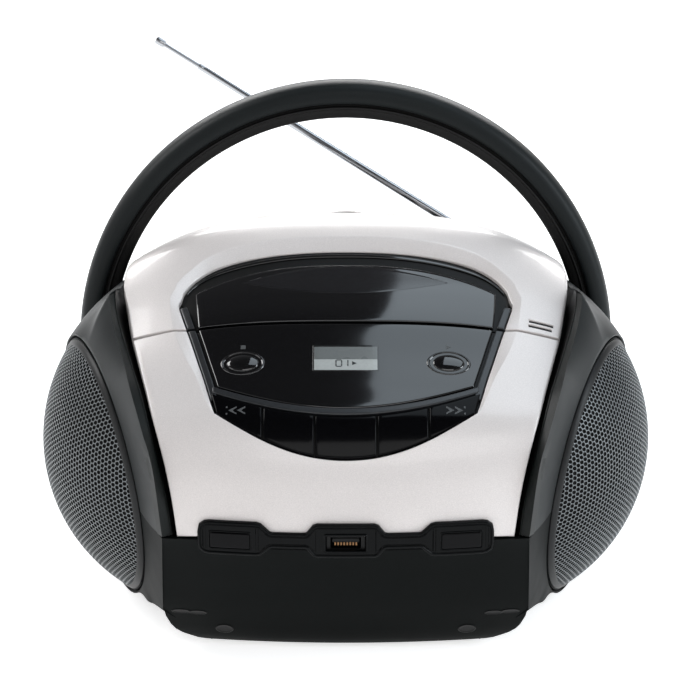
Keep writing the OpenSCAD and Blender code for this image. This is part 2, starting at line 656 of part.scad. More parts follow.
module battery_door() in_frame() color(dark) {
    box([-60, 115.2, 20], [60, 117.9, 66]);
    x_rod(2, -59.8, 59.8, door_pin[0], door_pin[1]);
    x_rod(1.2, -63, 63, door_pin[0], door_pin[1]);
}

module ac_inlet() in_frame() color([0.05, 0.05, 0.05]) translate([inlet_x, 0, inlet_z]) {
    difference() {
        box([-8.8, 101, -7.3], [8.8, 117.5, 7.3]);
        box([-6, 104, -4.5], [6, 120, 4.5]);
    }
    for (x = [-3, 3]) translate([x, 103, 0]) rotate([-90, 0, 0]) cylinder(r = 1.2, h = 10);
}

module volume_knob() in_frame() color(pearl) translate([0, knob_y, 0]) {
    translate([0, 0, 148]) cylinder(r = 12.5, h = 7);
    translate([0, 0, 138]) cylinder(r = 3, h = 11);
}

module tuning_wheel() in_frame() color(pearl) {
    x_rod(wheel_r, 24.6, 29.4, knob_y, wheel_z);
    x_rod(1.5, 18, 36, knob_y, wheel_z);
}

module function_switch() in_frame() color(pearl) {
    box([-28.5, knob_y - 3.5, 148.6], [-21.5, knob_y + 3.5, 154.4]);
    box([-26.6, knob_y - 1.6, 138], [-23.4, knob_y + 1.6, 149]);
}

// ---------- antenna ----------

// Direction the antenna points in, at rest
module along_antenna() {
    translate(swivel) rotate([0, 0, -antenna_back]) rotate([0, -90 + antenna_up, 0]) children();
}

module antenna_base() in_frame() color(steel) difference() {
    union() {
        translate([swivel[0], swivel[1], 108]) cylinder(r = 4, h = 20);
        translate([swivel[0], swivel[1], 124.6]) cylinder(r = 6.5, h = 3.6);
        translate(swivel) rotate([0, 0, -antenna_back]) {
            for (y = [-4.6, 2.4]) box([-3.6, y, -5], [3.6, y + 2.2, 3.2]);
        }
    }
    translate(swivel) rotate([0, 0, -antenna_back]) rotate([90, 0, 0])
        translate([0, 0, -6]) cylinder(r = 1.05, h = 12);
}

module antenna_lower_tube() in_frame() color(steel) along_antenna() difference() {
    union() {
        translate([0, 0, 1]) cylinder(r = tube_r, h = tube_len - 1);
        rotate([90, 0, 0]) translate([0, 0, -2.3]) cylinder(r = 2.8, h = 4.6);
        rotate([90, 0, 0]) translate([0, 0, -4.6]) cylinder(r = 1, h = 9.2);
    }
    translate([0, 0, 4]) cylinder(r = tube_r - 0.35, h = tube_len);
}

// How far the middle tube and the top tube stand out at rest
middle_out = 38;
top_out = 26;
middle_r = tube_r - 0.4;
top_r = middle_r - 0.5;
inserted = 92;

module antenna_middle_tube() in_frame() color(steel) along_antenna()
    translate([0, 0, tube_len - inserted]) difference() {
        cylinder(r = middle_r, h = inserted + middle_out);
        translate([0, 0, 2]) cylinder(r = top_r + 0.05, h = inserted + middle_out);
    }

module antenna_tip() in_frame() color(steel) along_antenna()
    translate([0, 0, tube_len + middle_out]) {
        translate([0, 0, -98]) cylinder(r = top_r, h = 98 + top_out - 4);
        translate([0, 0, top_out - 5]) cylinder(r = 2.1, h = 5);
    }

// ---------- handle ----------

leg_r = 11.5;
// Radius where the handle's outer shell meets its inner rib
rib_r = 120;

module arch(section_r0, section_r1, half_w) rotate([90, 0, 0])
    rotate_extrude(angle = 180, $fn = 128) polygon([
        [section_r0, 3 - half_w], [section_r0 + 2.5, -half_w],
        [section_r1 - 2.5, -half_w], [section_r1, 3 - half_w], [section_r1, half_w - 3],
        [section_r1 - 2.5, half_w], [section_r0 + 2.5, half_w], [section_r0, half_w - 3]]);

module pivot_eyes(r0, r1) for (side = [-1, 1]) mirror([side < 0 ? 1 : 0, 0, 0]) x_rod(leg_r - 1, r0, r1, 0, 0);

module handle_shell() in_frame() color(charcoal) translate([0, 68, 100]) difference() {
    union() {
        arch(rib_r + 0.2, handle_r, handle_w / 2);
        pivot_eyes(rib_r + 0.2, handle_r - 0.5);
    }
    x_rod(pivot_r, -140, 140, 0, 0);
}

module handle_rib() in_frame() color(dark) translate([0, 68, 100]) {
    difference() {
        union() {
            arch(handle_in_r, rib_r, handle_w / 2 - 2);
            pivot_eyes(handle_in_r, rib_r);
        }
        x_rod(pivot_r, -140, 140, 0, 0);
    }
    for (side = [-1, 1]) mirror([side < 0 ? 1 : 0, 0, 0]) x_rod(pivot_r, 100, handle_r - 2, 0, 0);
}

lower_cabinet();
left_pod();
right_pod();
rear_cover();
feet();
case_screws();
front_panel();
control_panel();
lcd_lens();
lcd_module();
key_board();
port_strip();
left_port_flap();
right_port_flap();
usb_socket();
aux_jack();
headphone_jack();
left_grille();
right_grille();
left_baffle();
right_baffle();
left_speaker_frame();
right_speaker_frame();
speaker_magnets();
left_speaker_cone();
right_speaker_cone();
disc_deck();
mechanism_plate();
spindle_motor();
turntable();
guide_rods();
laser_sled();
drive_pinion();
sled_motor();
disc_lid();
lid_window();
lid_liner();
disc_clamp();
hinge_pins();
back_key();
mix_key();
repeat_key();
program_key();
next_key();
stop_button();
play_button();
main_board();
transformer();
battery_springs();
battery_door();
ac_inlet();
volume_knob();
tuning_wheel();
function_switch();
antenna_base();
antenna_lower_tube();
antenna_middle_tube();
antenna_tip();
handle_shell();
handle_rib();
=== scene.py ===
import json
import math

import bmesh
import bpy
import numpy as np
from mathutils import Matrix, Vector

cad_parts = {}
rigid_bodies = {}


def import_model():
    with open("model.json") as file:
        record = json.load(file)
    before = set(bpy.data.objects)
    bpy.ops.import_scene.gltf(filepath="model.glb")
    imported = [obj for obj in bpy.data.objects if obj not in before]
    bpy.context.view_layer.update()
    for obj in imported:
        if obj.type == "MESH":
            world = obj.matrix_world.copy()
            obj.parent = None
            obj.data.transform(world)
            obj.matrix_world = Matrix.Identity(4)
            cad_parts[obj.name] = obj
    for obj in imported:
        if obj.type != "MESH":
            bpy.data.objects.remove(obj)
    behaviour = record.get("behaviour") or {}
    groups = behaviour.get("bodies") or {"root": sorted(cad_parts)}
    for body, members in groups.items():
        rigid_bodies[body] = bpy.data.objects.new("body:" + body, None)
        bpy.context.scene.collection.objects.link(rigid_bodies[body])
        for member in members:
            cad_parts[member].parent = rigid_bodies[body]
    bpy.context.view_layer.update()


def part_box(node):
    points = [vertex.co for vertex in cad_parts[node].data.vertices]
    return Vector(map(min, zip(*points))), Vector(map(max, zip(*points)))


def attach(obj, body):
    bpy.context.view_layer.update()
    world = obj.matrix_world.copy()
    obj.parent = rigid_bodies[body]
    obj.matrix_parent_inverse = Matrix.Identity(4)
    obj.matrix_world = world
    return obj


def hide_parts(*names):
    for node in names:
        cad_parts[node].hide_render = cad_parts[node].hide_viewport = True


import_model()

# Geometry below is written in millimetres from the body's datum, which lies DY behind the frame's origin.
_lo, _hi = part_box("turntable")
DY = (_lo.y + _hi.y) / 2 * 1000 - 17.0


# ---------- finishes ----------
def finish_material(name, rgb, rough, metal=0.0, scale=400.0, vary=0.06, bump=0.03, coat=0.0, spec=0.5,
                    detail=3.0, flake=0.0, streak=None):
    """Principled finish with procedural colour variation, roughness variation and bump."""
    m = bpy.data.materials.new(name)
    m.use_nodes = True
    nt = m.node_tree
    n, l = nt.nodes, nt.links
    b = n["Principled BSDF"]
    b.inputs["Metallic"].default_value = metal
    b.inputs["Specular IOR Level"].default_value = spec
    b.inputs["Coat Weight"].default_value = coat
    b.inputs["Coat Roughness"].default_value = 0.08
    co = n.new("ShaderNodeTexCoord")
    source = co.outputs["Object"]
    if streak:
        mp = n.new("ShaderNodeMapping")
        mp.inputs["Scale"].default_value = streak
        l.new(source, mp.inputs["Vector"])
        source = mp.outputs["Vector"]
    noise = n.new("ShaderNodeTexNoise")
    noise.inputs["Scale"].default_value = scale
    noise.inputs["Detail"].default_value = detail
    l.new(source, noise.inputs["Vector"])
    ramp = n.new("ShaderNodeValToRGB")
    dark = [c * (1 - vary) for c in rgb]
    light = [min(c * (1 + vary), 1) for c in rgb]
    ramp.color_ramp.elements[0].position = 0.3
    ramp.color_ramp.elements[0].color = dark + [1]
    ramp.color_ramp.elements[1].position = 0.7
    ramp.color_ramp.elements[1].color = light + [1]
    if flake:
        e = ramp.color_ramp.elements.new(0.78)
        e.color = [min(c * (1 + flake), 1) for c in rgb] + [1]
    l.new(noise.outputs["Fac"], ramp.inputs["Fac"])
    l.new(ramp.outputs["Color"], b.inputs["Base Color"])
    slow = n.new("ShaderNodeTexNoise")
    slow.inputs["Scale"].default_value = 60.0
    l.new(co.outputs["Object"], slow.inputs["Vector"])
    rr = n.new("ShaderNodeMapRange")
    rr.inputs["To Min"].default_value = rough * 0.88
    rr.inputs["To Max"].default_value = min(rough * 1.12, 1)
    l.new(slow.outputs["Fac"], rr.inputs["Value"])
    l.new(rr.outputs["Result"], b.inputs["Roughness"])
    bp = n.new("ShaderNodeBump")
    bp.inputs["Strength"].default_value = bump
    bp.inputs["Distance"].default_value = 0.0002
    l.new(noise.outputs["Fac"], bp.inputs["Height"])
    l.new(bp.outputs["Normal"], b.inputs["Normal"])
    return m


SILVER = finish_material("pearl_silver_paint", (0.66, 0.62, 0.605), 0.38, 0.15, 2600, 0.08, 0.02, 0.3, flake=0.25)
SILVER_EDGE = finish_material("pearl_silver_edge", (0.55, 0.52, 0.51), 0.34, 0.3, 2600, 0.08, 0.02, 0.3)
CHARCOAL = finish_material("charcoal_satin", (0.0085, 0.0105, 0.011), 0.44, 0.0, 1500, 0.10, 0.06, 0.0, 0.13)
BEVEL = finish_material("pod_bevel_satin", (0.0045, 0.006, 0.0056), 0.42, 0.0, 1500, 0.10, 0.04, 0.0, 0.18)
# darker copy of the charcoal satin: painted shade for the lower cabinet's dim front, also used on the other base and
# inner parts
SHADED_BASE = finish_material("base_charcoal_painted_shade", (0.0022, 0.0030, 0.0029), 0.50, 0.0, 1200, 0.12, 0.05, 0.0, 0.05)
GLOSS = finish_material("gloss_black", (0.0022, 0.0022, 0.0026), 0.055, 0.0, 500, 0.2, 0.002, 0.6)
KEY = finish_material("key_black", (0.0016, 0.0016, 0.0020), 0.11, 0.0, 700, 0.2, 0.004, 0.0, 0.10)
STRIP = finish_material("port_strip_black", (0.0018, 0.0022, 0.0024), 0.22, 0.0, 900, 0.15, 0.01, 0.0, 0.09)
# near-black on the grille's hole walls: painted shade inside the perforations of the painted metal
HOLE_SHADE = finish_material("grille_hole_painted_shade", (0.006, 0.006, 0.006), 0.6, 0.0, 900, 0.15, 0.01, 0.0, 0.1)
# lighter grey on the gloss-black frame's ledge and side bands: painted highlight and reflection along the frame's edges
SHEEN_BAND = finish_material("band_painted_sheen_grey", (0.020, 0.0215, 0.024), 0.32, 0.3, 900, 0.12, 0.02, 0.2)
SMOKE = finish_material("smoked_window", (0.007, 0.007, 0.008), 0.10, 0.0, 500, 0.2, 0.002, 0.4)
GRILLE = finish_material("grille_paint", (0.145, 0.155, 0.16), 0.34, 0.8, 1800, 0.10, 0.03)
RIM = finish_material("grille_rim", (0.006, 0.0065, 0.007), 0.42, 0.0, 1500, 0.1, 0.03, 0.0, 0.25)
CLOTH = finish_material("speaker_cloth", (0.004, 0.004, 0.0045), 0.9, 0.0, 3000, 0.3, 0.4)
RIB = finish_material("handle_rib_dark", (0.0035, 0.0033, 0.0032), 0.5, 0.0, 1500, 0.1, 0.08, 0.0, 0.22)
LENS = finish_material("display_lens", (0.010, 0.011, 0.011), 0.06, 0.0, 500, 0.2, 0.002, 0.5)
LCD = finish_material("display_glass", (0.33, 0.35, 0.345), 0.32, 0.0, 800, 0.05, 0.01, 0.2)
# darker display grey: painted shadow on the display's upper strip, and the lcd module's colour
LCD_DARK = finish_material("display_shade", (0.11, 0.12, 0.12), 0.28, 0.0, 800, 0.05, 0.01, 0.2)
SEGMENT = finish_material("display_segment", (0.006, 0.007, 0.007), 0.4, 0.0, 800, 0.1, 0.01)
PRINT = finish_material("printed_grey", (0.055, 0.058, 0.06), 0.45, 0.0, 900, 0.05, 0.01)
CHROME = finish_material("antenna_chrome", (0.40, 0.41, 0.43), 0.20, 1.0, 300, 0.03, 0.004, streak=(1, 1, 30))
STEEL = finish_material("plated_steel", (0.50, 0.51, 0.53), 0.28, 1.0, 900, 0.06, 0.02)
COPPER = finish_material("contact_copper", (0.20, 0.11, 0.055), 0.3, 1.0, 900, 0.06, 0.02)
PRESSED = finish_material("pressed_steel", (0.22, 0.22, 0.225), 0.45, 0.7, 700, 0.08, 0.04)
BOARD = finish_material("circuit_board", (0.02, 0.12, 0.05), 0.4, 0.0, 500, 0.15, 0.05)
PAPER = finish_material("cone_paper", (0.015, 0.015, 0.016), 0.85, 0.0, 900, 0.2, 0.3)
RUBBER = finish_material("foot_rubber", (0.012, 0.012, 0.012), 0.8, 0.0, 900, 0.15, 0.2)
MECH = finish_material("mechanism_plastic", (0.05, 0.05, 0.052), 0.4, 0.0, 900, 0.1, 0.05)
INLET = finish_material("inlet_plastic", (0.0035, 0.0035, 0.0035), 0.42, 0.0, 900, 0.1, 0.05, 0.0, 0.2)
KNOB = finish_material("knob_pearl", (0.40, 0.37, 0.35), 0.34, 0.3, 2200, 0.08, 0.02, 0.3)


# ---------- skin of the crowned body ----------
CP = np.array([(-111, 66), (-108.5, 80), (-103.5, 96), (-92, 112.5), (-75, 124), (-60, 133.5), (-45, 144),
               (-28, 152), (-10, 159), (10, 167), (27, 170.5), (45, 169.6), (62, 165), (80, 157.5)], float)
EP = np.array([(-103, 63), (-100, 80), (-95.5, 96), (-86, 110), (-70, 120), (-54, 127), (-40, 133),
               (-24, 140.5), (-8, 146.5), (8, 149.5), (24, 150.5), (42, 149), (60, 144), (78, 136)], float)
XE = np.array([73, 75.5, 79, 83.5, 88, 92, 95.5, 98.5, 101, 102, 101, 96.5, 90, 82], float)[:, None]


def curve(p, t):
    p = np.asarray(p, float)
    t = np.asarray(t, float)
    n = len(p) - 1
    i = np.clip(np.floor(t).astype(int), 0, n - 1)
    f = (t - i)[..., None]
    a, b, c, d = p[np.maximum(i - 1, 0)], p[i], p[i + 1], p[np.minimum(i + 2, n)]
    return 0.5 * (2 * b + (c - a) * f + (2 * a - 5 * b + 4 * c - d) * f * f + (3 * b - a - 3 * c + d) * f ** 3)


def normal(t):
    v = curve(CP, np.minimum(t + 0.05, 13)) - curve(CP, np.maximum(t - 0.05, 0))
    v = v / np.linalg.norm(v, axis=-1, keepdims=True)
    return np.stack([np.zeros_like(v[..., 0]), -v[..., 1], v[..., 0]], -1)


def skin(x, t, off=0.0):
    x, t, off = np.broadcast_arrays(np.asarray(x, float), np.asarray(t, float), np.asarray(off, float))
    c, e = curve(CP, t), curve(EP, t)
    half = curve(XE, t)[..., 0]
    k = (np.abs(x) / half) ** (2.2 + np.clip(t / 9, 0, 1))
    p = c + (e - c) * k[..., None]
    return np.stack([x, p[..., 0], p[..., 1]], -1) + off[..., None] * normal(t)


def half_window(t):
    return 41.7 + 4.87 * t


def window_top(x):
    a = np.abs(x)
    return 8.5 - 0.45 * (a / 60) ** 2.2 - 0.9 * (a / 76) ** 14


def key_bottom(x):
    return 2.1 + 1.1 * (x / 57) ** 2


def ledge(x):
    return 3.17 + 0.6 * (x / 56) ** 2


# ---------- mesh helpers ----------
def piece(name, verts, faces, mat, body, rep=(), angle=35, bevel=0.0, seg=2, recalc=True):
    """Piece from points in datum millimetres."""
    me = bpy.data.meshes.new(name)
    v = (np.asarray(verts, float).reshape(-1, 3) + (0, DY, 0)) / 1000
    me.from_pydata([tuple(p) for p in v], [], [tuple(int(i) for i in f) for f in faces])
    me.update()
    if recalc:
        bm = bmesh.new()
        bm.from_mesh(me)
        bmesh.ops.remove_doubles(bm, verts=bm.verts, dist=2e-6)
        bmesh.ops.recalc_face_normals(bm, faces=bm.faces)
        bm.to_mesh(me)
        bm.free()
    return dress(name, me, mat, body, rep, angle, bevel, seg)


def dress(name, me, mat, body, rep=(), angle=35, bevel=0.0, seg=2):
    me.polygons.foreach_set("use_smooth", [True] * len(me.polygons))
    me.set_sharp_from_angle(angle=math.radians(angle))
    for m in mat if isinstance(mat, (list, tuple)) else [mat]:
        me.materials.append(m)
    o = bpy.data.objects.new(name, me)
    bpy.context.scene.collection.objects.link(o)
    if bevel:
        b = o.modifiers.new("soft_edges", "BEVEL")
        b.width, b.segments, b.limit_method = bevel / 1000, seg, "ANGLE"
        b.angle_limit = math.radians(40)
        b.harden_normals = False
    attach(o, body)
    if rep:
        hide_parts(*rep)
    return o


def grid_faces(rows, cols, base=0, flip=False, closed=False):
    i, j = np.meshgrid(np.arange(rows - 1), np.arange(cols if closed else cols - 1), indexing="ij")
    k = (j + 1) % cols
    f = np.stack([i * cols + j, i * cols + k, (i + 1) * cols + k, (i + 1) * cols + j], -1).reshape(-1, 4) + base
    return (f[:, ::-1] if flip else f).tolist()


def closed_grid(top, bot):
    """Closed solid between two grids with the same rows and columns."""
    rows, cols = top.shape[:2]
    n = rows * cols
    f = grid_faces(rows, cols) + grid_faces(rows, cols, n, True)
    ring = [j for j in range(cols)] + [i * cols + cols - 1 for i in range(1, rows)]
    ring += [(rows - 1) * cols + j for j in range(cols - 2, -1, -1)] + [i * cols for i in range(rows - 2, 0, -1)]
    m = len(ring)
    f += [(ring[a], n + ring[a], n + ring[(a + 1) % m], ring[(a + 1) % m]) for a in range(m)]
    return np.concatenate([top.reshape(-1, 3), bot.reshape(-1, 3)]), f


EDGE = np.radians([0, 25, 50, 70, 90])


def lines(n, w, r):
    e = r * (1 - np.cos(EDGE)) / w
    mid = np.linspace(e[-1], 1 - e[-1], n)[1:-1]
    return np.concatenate([e, mid, 1 - e[::-1]])


def fall(du, dv, r):
    """Drop of a rounded border at given distances from the edges."""
    a, b = r - np.minimum(du, r), r - np.minimum(dv, r)
    return r - np.sqrt(np.maximum(r * r - a * a - b * b, 0))


def patch(name, fn, w, h, mat, body, rep=(), nu=24, nv=12, r=0.5, depth=2.0, angle=50):
    """Sheet with rounded borders: fn(u, v, off) gives datum points, w and h its size in mm."""
    u, v = np.meshgrid(lines(nu, w, r), lines(nv, h, r))
    d = fall(np.minimum(u, 1 - u) * w, np.minimum(v, 1 - v) * h, r)
    vt, f = closed_grid(fn(u, v, -d), fn(u, v, -depth + 0 * d))
    return piece(name, vt, f, mat, body, rep, angle)


def band(name, inner, outer, crease, rim, mat, body, rep=(), r_in=0.4, r_out=0.9, depth=2.2, drop_out=0.0):
    """Shell strip of the skin between two (x, t) lists, sloping down by rim within crease mm of the inner one."""
    inner, outer = np.asarray(inner, float), np.asarray(outer, float)
    n = len(inner)
    pi, po = skin(inner[:, 0], inner[:, 1]), skin(outer[:, 0], outer[:, 1])
    wide = np.linalg.norm(po - pi, axis=1)
    along = np.concatenate([[0], np.cumsum(np.linalg.norm(np.diff(pi, axis=0), axis=1))])
    ends = np.minimum(along, along[-1] - along)
    cols = []
    e = 1 - np.cos(EDGE)
    for w, c in zip(wide, crease):
        c = max(c, r_in * 1.5)
        start = np.concatenate([r_in * e, c * np.array([0.45, 0.7, 0.9, 1.0]), [c + 0.35, c + 0.9]])
        rest = np.linspace(c + 0.9, w - r_out, 12)[1:]
        d = np.concatenate([start, rest, w - r_out * e[::-1][1:]])
        cols.append(np.maximum.accumulate(d))
    d = np.array(cols)
    f = d / wide[:, None]
    x = inner[:, :1] + (outer[:, :1] - inner[:, :1]) * f
    t = inner[:, 1:] + (outer[:, 1:] - inner[:, 1:]) * f
    c = np.maximum(np.asarray(crease, float), 0.1)[:, None]
    slope = np.clip(1 - d / c, 0, 1)
    low = -np.asarray(rim, float)[:, None] * slope
    r = np.where(d < wide[:, None] / 2, r_in, r_out)
    near = np.minimum(d, wide[:, None] - d)
    low = low - fall(near, np.repeat(ends[:, None] + 0, d.shape[1], 1) * r / 0.45, r)
    top = skin(x, t, low)
    bot = skin(x, t, -depth + np.minimum(low, 0) * (slope > 0))
    vt, fc = closed_grid(top, bot)
    return piece(name, vt, fc, mat, body, rep, 50)


def t_lines(a, b, n, per_mm=0.075):
    """Stations from a to b with extra ones near a, where the seam is."""
    e = (1 - np.cos(EDGE)) * 0.45 * per_mm * np.sign(b - a)
    return np.concatenate([a + e, np.linspace(a + e[-1], b, n + 1)[1:]])


# ---------- silver front ----------
tl = t_lines(5.965, 3.3, 18)[:-1]
to = np.concatenate([tl[:5], np.linspace(tl[4], 0.0, len(tl) - 4)[1:]])
to = 5.965 - (5.965 - to) ** 1.0
xs = np.linspace(-57, 57, 61)
xo = np.linspace(-73, 73, 61)
inner = [(-half_window(t), t) for t in tl] + [(x, key_bottom(x)) for x in xs] + [(half_window(t), t) for t in tl[::-1]]
outer = [(-curve(XE, t)[0], t) for t in to] + [(x, 0.0) for x in xo] + [(curve(XE, t)[0], t) for t in to[::-1]]
cre = np.array([5.9 * max((t - 3.3) / 2.7, 0) ** 0.35 for t in tl])
cre = np.concatenate([cre, np.zeros(61), cre[::-1]])
rim = np.concatenate([np.minimum(1.5, (tl - 3.3) * 3), np.zeros(61), np.minimum(1.5, (tl - 3.3) * 3)[::-1]])
band("silver_front", inner, outer, cre, rim, SILVER, "body", ("front_panel",), r_out=1.0)

# ---------- silver lid ----------
tu = t_lines(6.035, 6.75, 8)
xt = np.concatenate([np.linspace(-75.2, -68, 12), np.linspace(-68, 68, 60)[1:-1], np.linspace(68, 75.2, 12)])
lift = 0.21 * (1 - (np.abs(xt) / 76) ** 6) + 0.12 * (np.abs(xt) / 70) ** 3 * (np.abs(xt) < 73.5)
inner = [(-half_window(t), t) for t in tu] + [(x, window_top(x) + g) for x, g in zip(xt, lift)]
inner += [(half_window(t), t) for t in tu[::-1]]
n_side, n_top = len(tu), len(xt)
ts = np.concatenate([tu[:5], np.linspace(tu[4], 8.0, n_side - 4)[1:]])
corner = 10
tr = np.linspace(8.0, 12.7, corner + 1)[1:]
xr = np.linspace(-82, 82, n_top - 2 * corner)
outer = [(-curve(XE, t)[0], t) for t in ts] + [(-curve(XE, t)[0], t) for t in tr]
outer += [(x, 13.0) for x in xr] + [(curve(XE, t)[0], t) for t in tr[::-1]] + [(curve(XE, t)[0], t) for t in ts[::-1]]
xi = np.array([p[0] for p in inner])
top = np.concatenate([np.zeros(n_side), 1 - (np.abs(xt) / 76) ** 2.5, np.zeros(n_side)])
cre = 5.9 + 0.6 * top
rim = 1.5 + 2.3 * np.sqrt(np.clip(top, 0, 1))
lid = band("silver_lid", inner, outer, cre, rim, SILVER, "lid", ("disc_lid",), r_out=1.3)


def rod(name, p0, p1, r, mat, body, rep=(), bevel=0.3, n=40):
    """Round bar with bevelled ends between two datum points."""
    me = bpy.data.meshes.new(name)
    bm = bmesh.new()
    a, b = Vector(p0), Vector(p1)
    d = b - a
    rot = d.to_track_quat("Z", "Y").to_matrix().to_4x4()
    bmesh.ops.create_cone(bm, segments=n, radius1=r / 1000, radius2=r / 1000, depth=d.length / 1000, cap_ends=True,
                          matrix=Matrix.Translation(((a + b) / 2 + Vector((0, DY, 0))) / 1000) @ rot)
    ed = [e for e in bm.edges if len(e.link_faces) == 2 and e.calc_face_angle() > 1.0]
    bmesh.ops.bevel(bm, geom=ed, offset=bevel / 1000, segments=3, affect="EDGES")
    bm.to_mesh(me)
    bm.free()
    return dress(name, me, mat, body, rep)


for i, (x0, x1) in enumerate(((-49.5, -38.5), (38.5, 49.5))):
    rod(f"lid_knuckle_{i}", (x0, 82, 152.5), (x1, 82, 152.5), 3.4, SILVER_EDGE, "lid")

# finger ridges on the lid's right-hand side
for i, (t0, xa, xb) in enumerate(((6.42, 82, 93), (6.26, 81.6, 92.2))):
    patch(f"grip_ridge_{i}", lambda u, v, o, t0=t0, xa=xa, xb=xb: skin(xa + (xb - xa) * u, t0 + 0.055 * v, 0.7 + o),
          11, 0.9, SILVER, "lid", nu=10, nv=4, r=0.4, depth=1.4)
    # flat dark strip under each ridge: painted shade of the groove, lying on the skin
    patch(f"grip_groove_{i}", lambda u, v, o, t0=t0, xa=xa, xb=xb: skin(xa + (xb - xa) * u, t0 - 0.065 + 0.06 * v, 0.06 + o),
          11, 0.8, INLET, "lid", nu=10, nv=4, r=0.05, depth=0.6)

# ---------- black panel ----------
BI = 3.9


def face_half(t):
    return half_window(t) - 5.2


patch("panel_face", lambda u, v, o: (lambda tt, x: skin(x, tt, -1.6 + o))(
    *(lambda low: (low + (5.955 - low) * v, (2 * u - 1) * face_half(low + (5.955 - low) * v)))(
        ledge((2 * u - 1) * 58) + 0.19)),
      125, 30, GLOSS, "body", ("control_panel",), nu=60, nv=24, r=0.6, depth=3.0)
# ledge and side bands take the lighter grey, a painted highlight on the black frame
patch("ledge_band", lambda u, v, o: (lambda x: skin(x, ledge(x) + 0.17 * v, -0.9 + o))((2 * u - 1) * 58.2),
      117, 2.1, SHEEN_BAND, "body", nu=60, nv=4, r=0.45, depth=3.0)
for s, w in ((-1, "left"), (1, "right")):
    patch(f"side_band_{w}", lambda u, v, o, s=s: (lambda t: skin(s * (half_window(t) - 3.75 + 3.25 * u), t, -1.35 + o))(
        3.62 + (5.955 - 3.62) * v), 3.25, 33, SHEEN_BAND, "body", nu=4, nv=24, r=0.5, depth=3.0)
    patch(f"lid_band_{w}", lambda u, v, o, s=s: (lambda t: skin(s * (half_window(t) - 3.75 + 3.25 * u), t, -1.35 + o))(
        6.045 + (6.83 - 6.045) * v), 3.25, 11, SHEEN_BAND, "lid", nu=4, nv=12, r=0.5, depth=3.0)

# black backing behind the gaps
patch("panel_backing", lambda u, v, o: (lambda low: (lambda t: skin((2 * u - 1) * (half_window(t) + 0.2), t, -3.2 + o))(
    low + (5.95 - low) * v))(key_bottom((2 * u - 1) * 56) + 0.02),
      130, 45, INLET, "body", nu=50, nv=20, r=0.3, depth=1.2)
patch("lid_backing", lambda u, v, o: (lambda x: (lambda t: skin(x, t, -4.4 + o))(
    6.05 + (window_top(x) + 0.33 - 6.05) * v))((2 * u - 1) * (72 + 2.2 * v)),
      145, 60, INLET, "lid", ("lid_window",), nu=60, nv=24, r=0.3, depth=1.0)


def lid_face_top(x):
    return 8.14 - 0.9 * (np.abs(x) / 69) ** 2.6


patch("lid_face", lambda u, v, o: (lambda x: skin(x, 6.045 + (lid_face_top(x) - 6.045) * v, -1.7 + o))(
    (2 * u - 1) * (face_half(6.0) + 2.6 * v - 0.6 * v * v)),
      135, 48, GLOSS, "lid", nu=70, nv=30, r=0.7, depth=2.6)
# thin rim ring between the silver slope and the black face
patch("lid_rim", lambda u, v, o: (lambda x: skin(x, window_top(x) + 0.02 + 0.10 * v, -3.6 + o))((2 * u - 1) * 72),
      140, 2.0, GLOSS, "lid", nu=70, nv=5, r=0.5, depth=1.6)
# lens-shaped viewing window
patch("viewing_window", lambda u, v, o: (lambda x: (lambda k: skin(
    x, 7.60 - 0.06 * np.abs(x / 46) + (v * 0.50 - (1 - v) * 0.54) * k, -1.66 + o))(
        np.maximum(1 - (np.abs(x) / 46.5) ** 2, 0.0)))((2 * u - 1) * 46),
      92, 20, SMOKE, "lid", nu=60, nv=12, r=0.1, depth=0.3)

# ---------- keys ----------
EDGES = [-59, -36, -13.5, 13.5, 36, 59]
for i, k in enumerate(("back_key", "mix_key", "repeat_key", "program_key", "next_key")):
    def fn(u, v, o, i=i):
        side = 56 + 2.8 * v
        x0 = -side if i == 0 else EDGES[i] + 0.3
        x1 = side if i == 4 else EDGES[i + 1] - 0.3
        x = x0 + (x1 - x0) * u
        return skin(x, key_bottom(x) + 0.05 + (ledge(x) - key_bottom(x) - 0.1) * v, -0.9 + o)
    patch(f"cap_{k}", fn, EDGES[i + 1] - EDGES[i], 17, KEY, k, (k,), nu=16, nv=14, r=0.7, depth=5.0)


def icon(name, tris, x, t, off, mat, body, scale=1.0):
    """Flat printed shapes lying on the skin, each a polygon in mm about a point."""
    vt, fc = [], []
    for poly in tris:
        b = len(vt)
        n = len(poly)
        for z in (0.03, -0.05):
            for px, py in poly:
                vt.append(skin(x + px * scale, t + py * scale * 0.0555, off + z))
        fc.append(list(range(b, b + n)))
        fc.append(list(range(b + 2 * n - 1, b + n - 1, -1)))
        fc += [(b + a, b + n + a, b + n + (a + 1) % n, b + (a + 1) % n) for a in range(n)]
    return piece(name, vt, fc, mat, body)


SKIP = [[(-2.6, 1.1), (-2.6, -1.1), (-0.6, 0)], [(-0.5, 1.1), (-0.5, -1.1), (1.5, 0)],
        [(1.7, 1.1), (1.7, -1.1), (2.1, -1.1), (2.1, 1.1)]]
flip = [[(-a, b) for a, b in p] for p in SKIP]
icon("icon_back", flip, -48.2, ledge(47) - 0.30, -0.9, PRINT, "back_key", 1.8)
icon("icon_next", SKIP, 48.2, ledge(47) - 0.30, -0.9, PRINT, "next_key", 1.8)


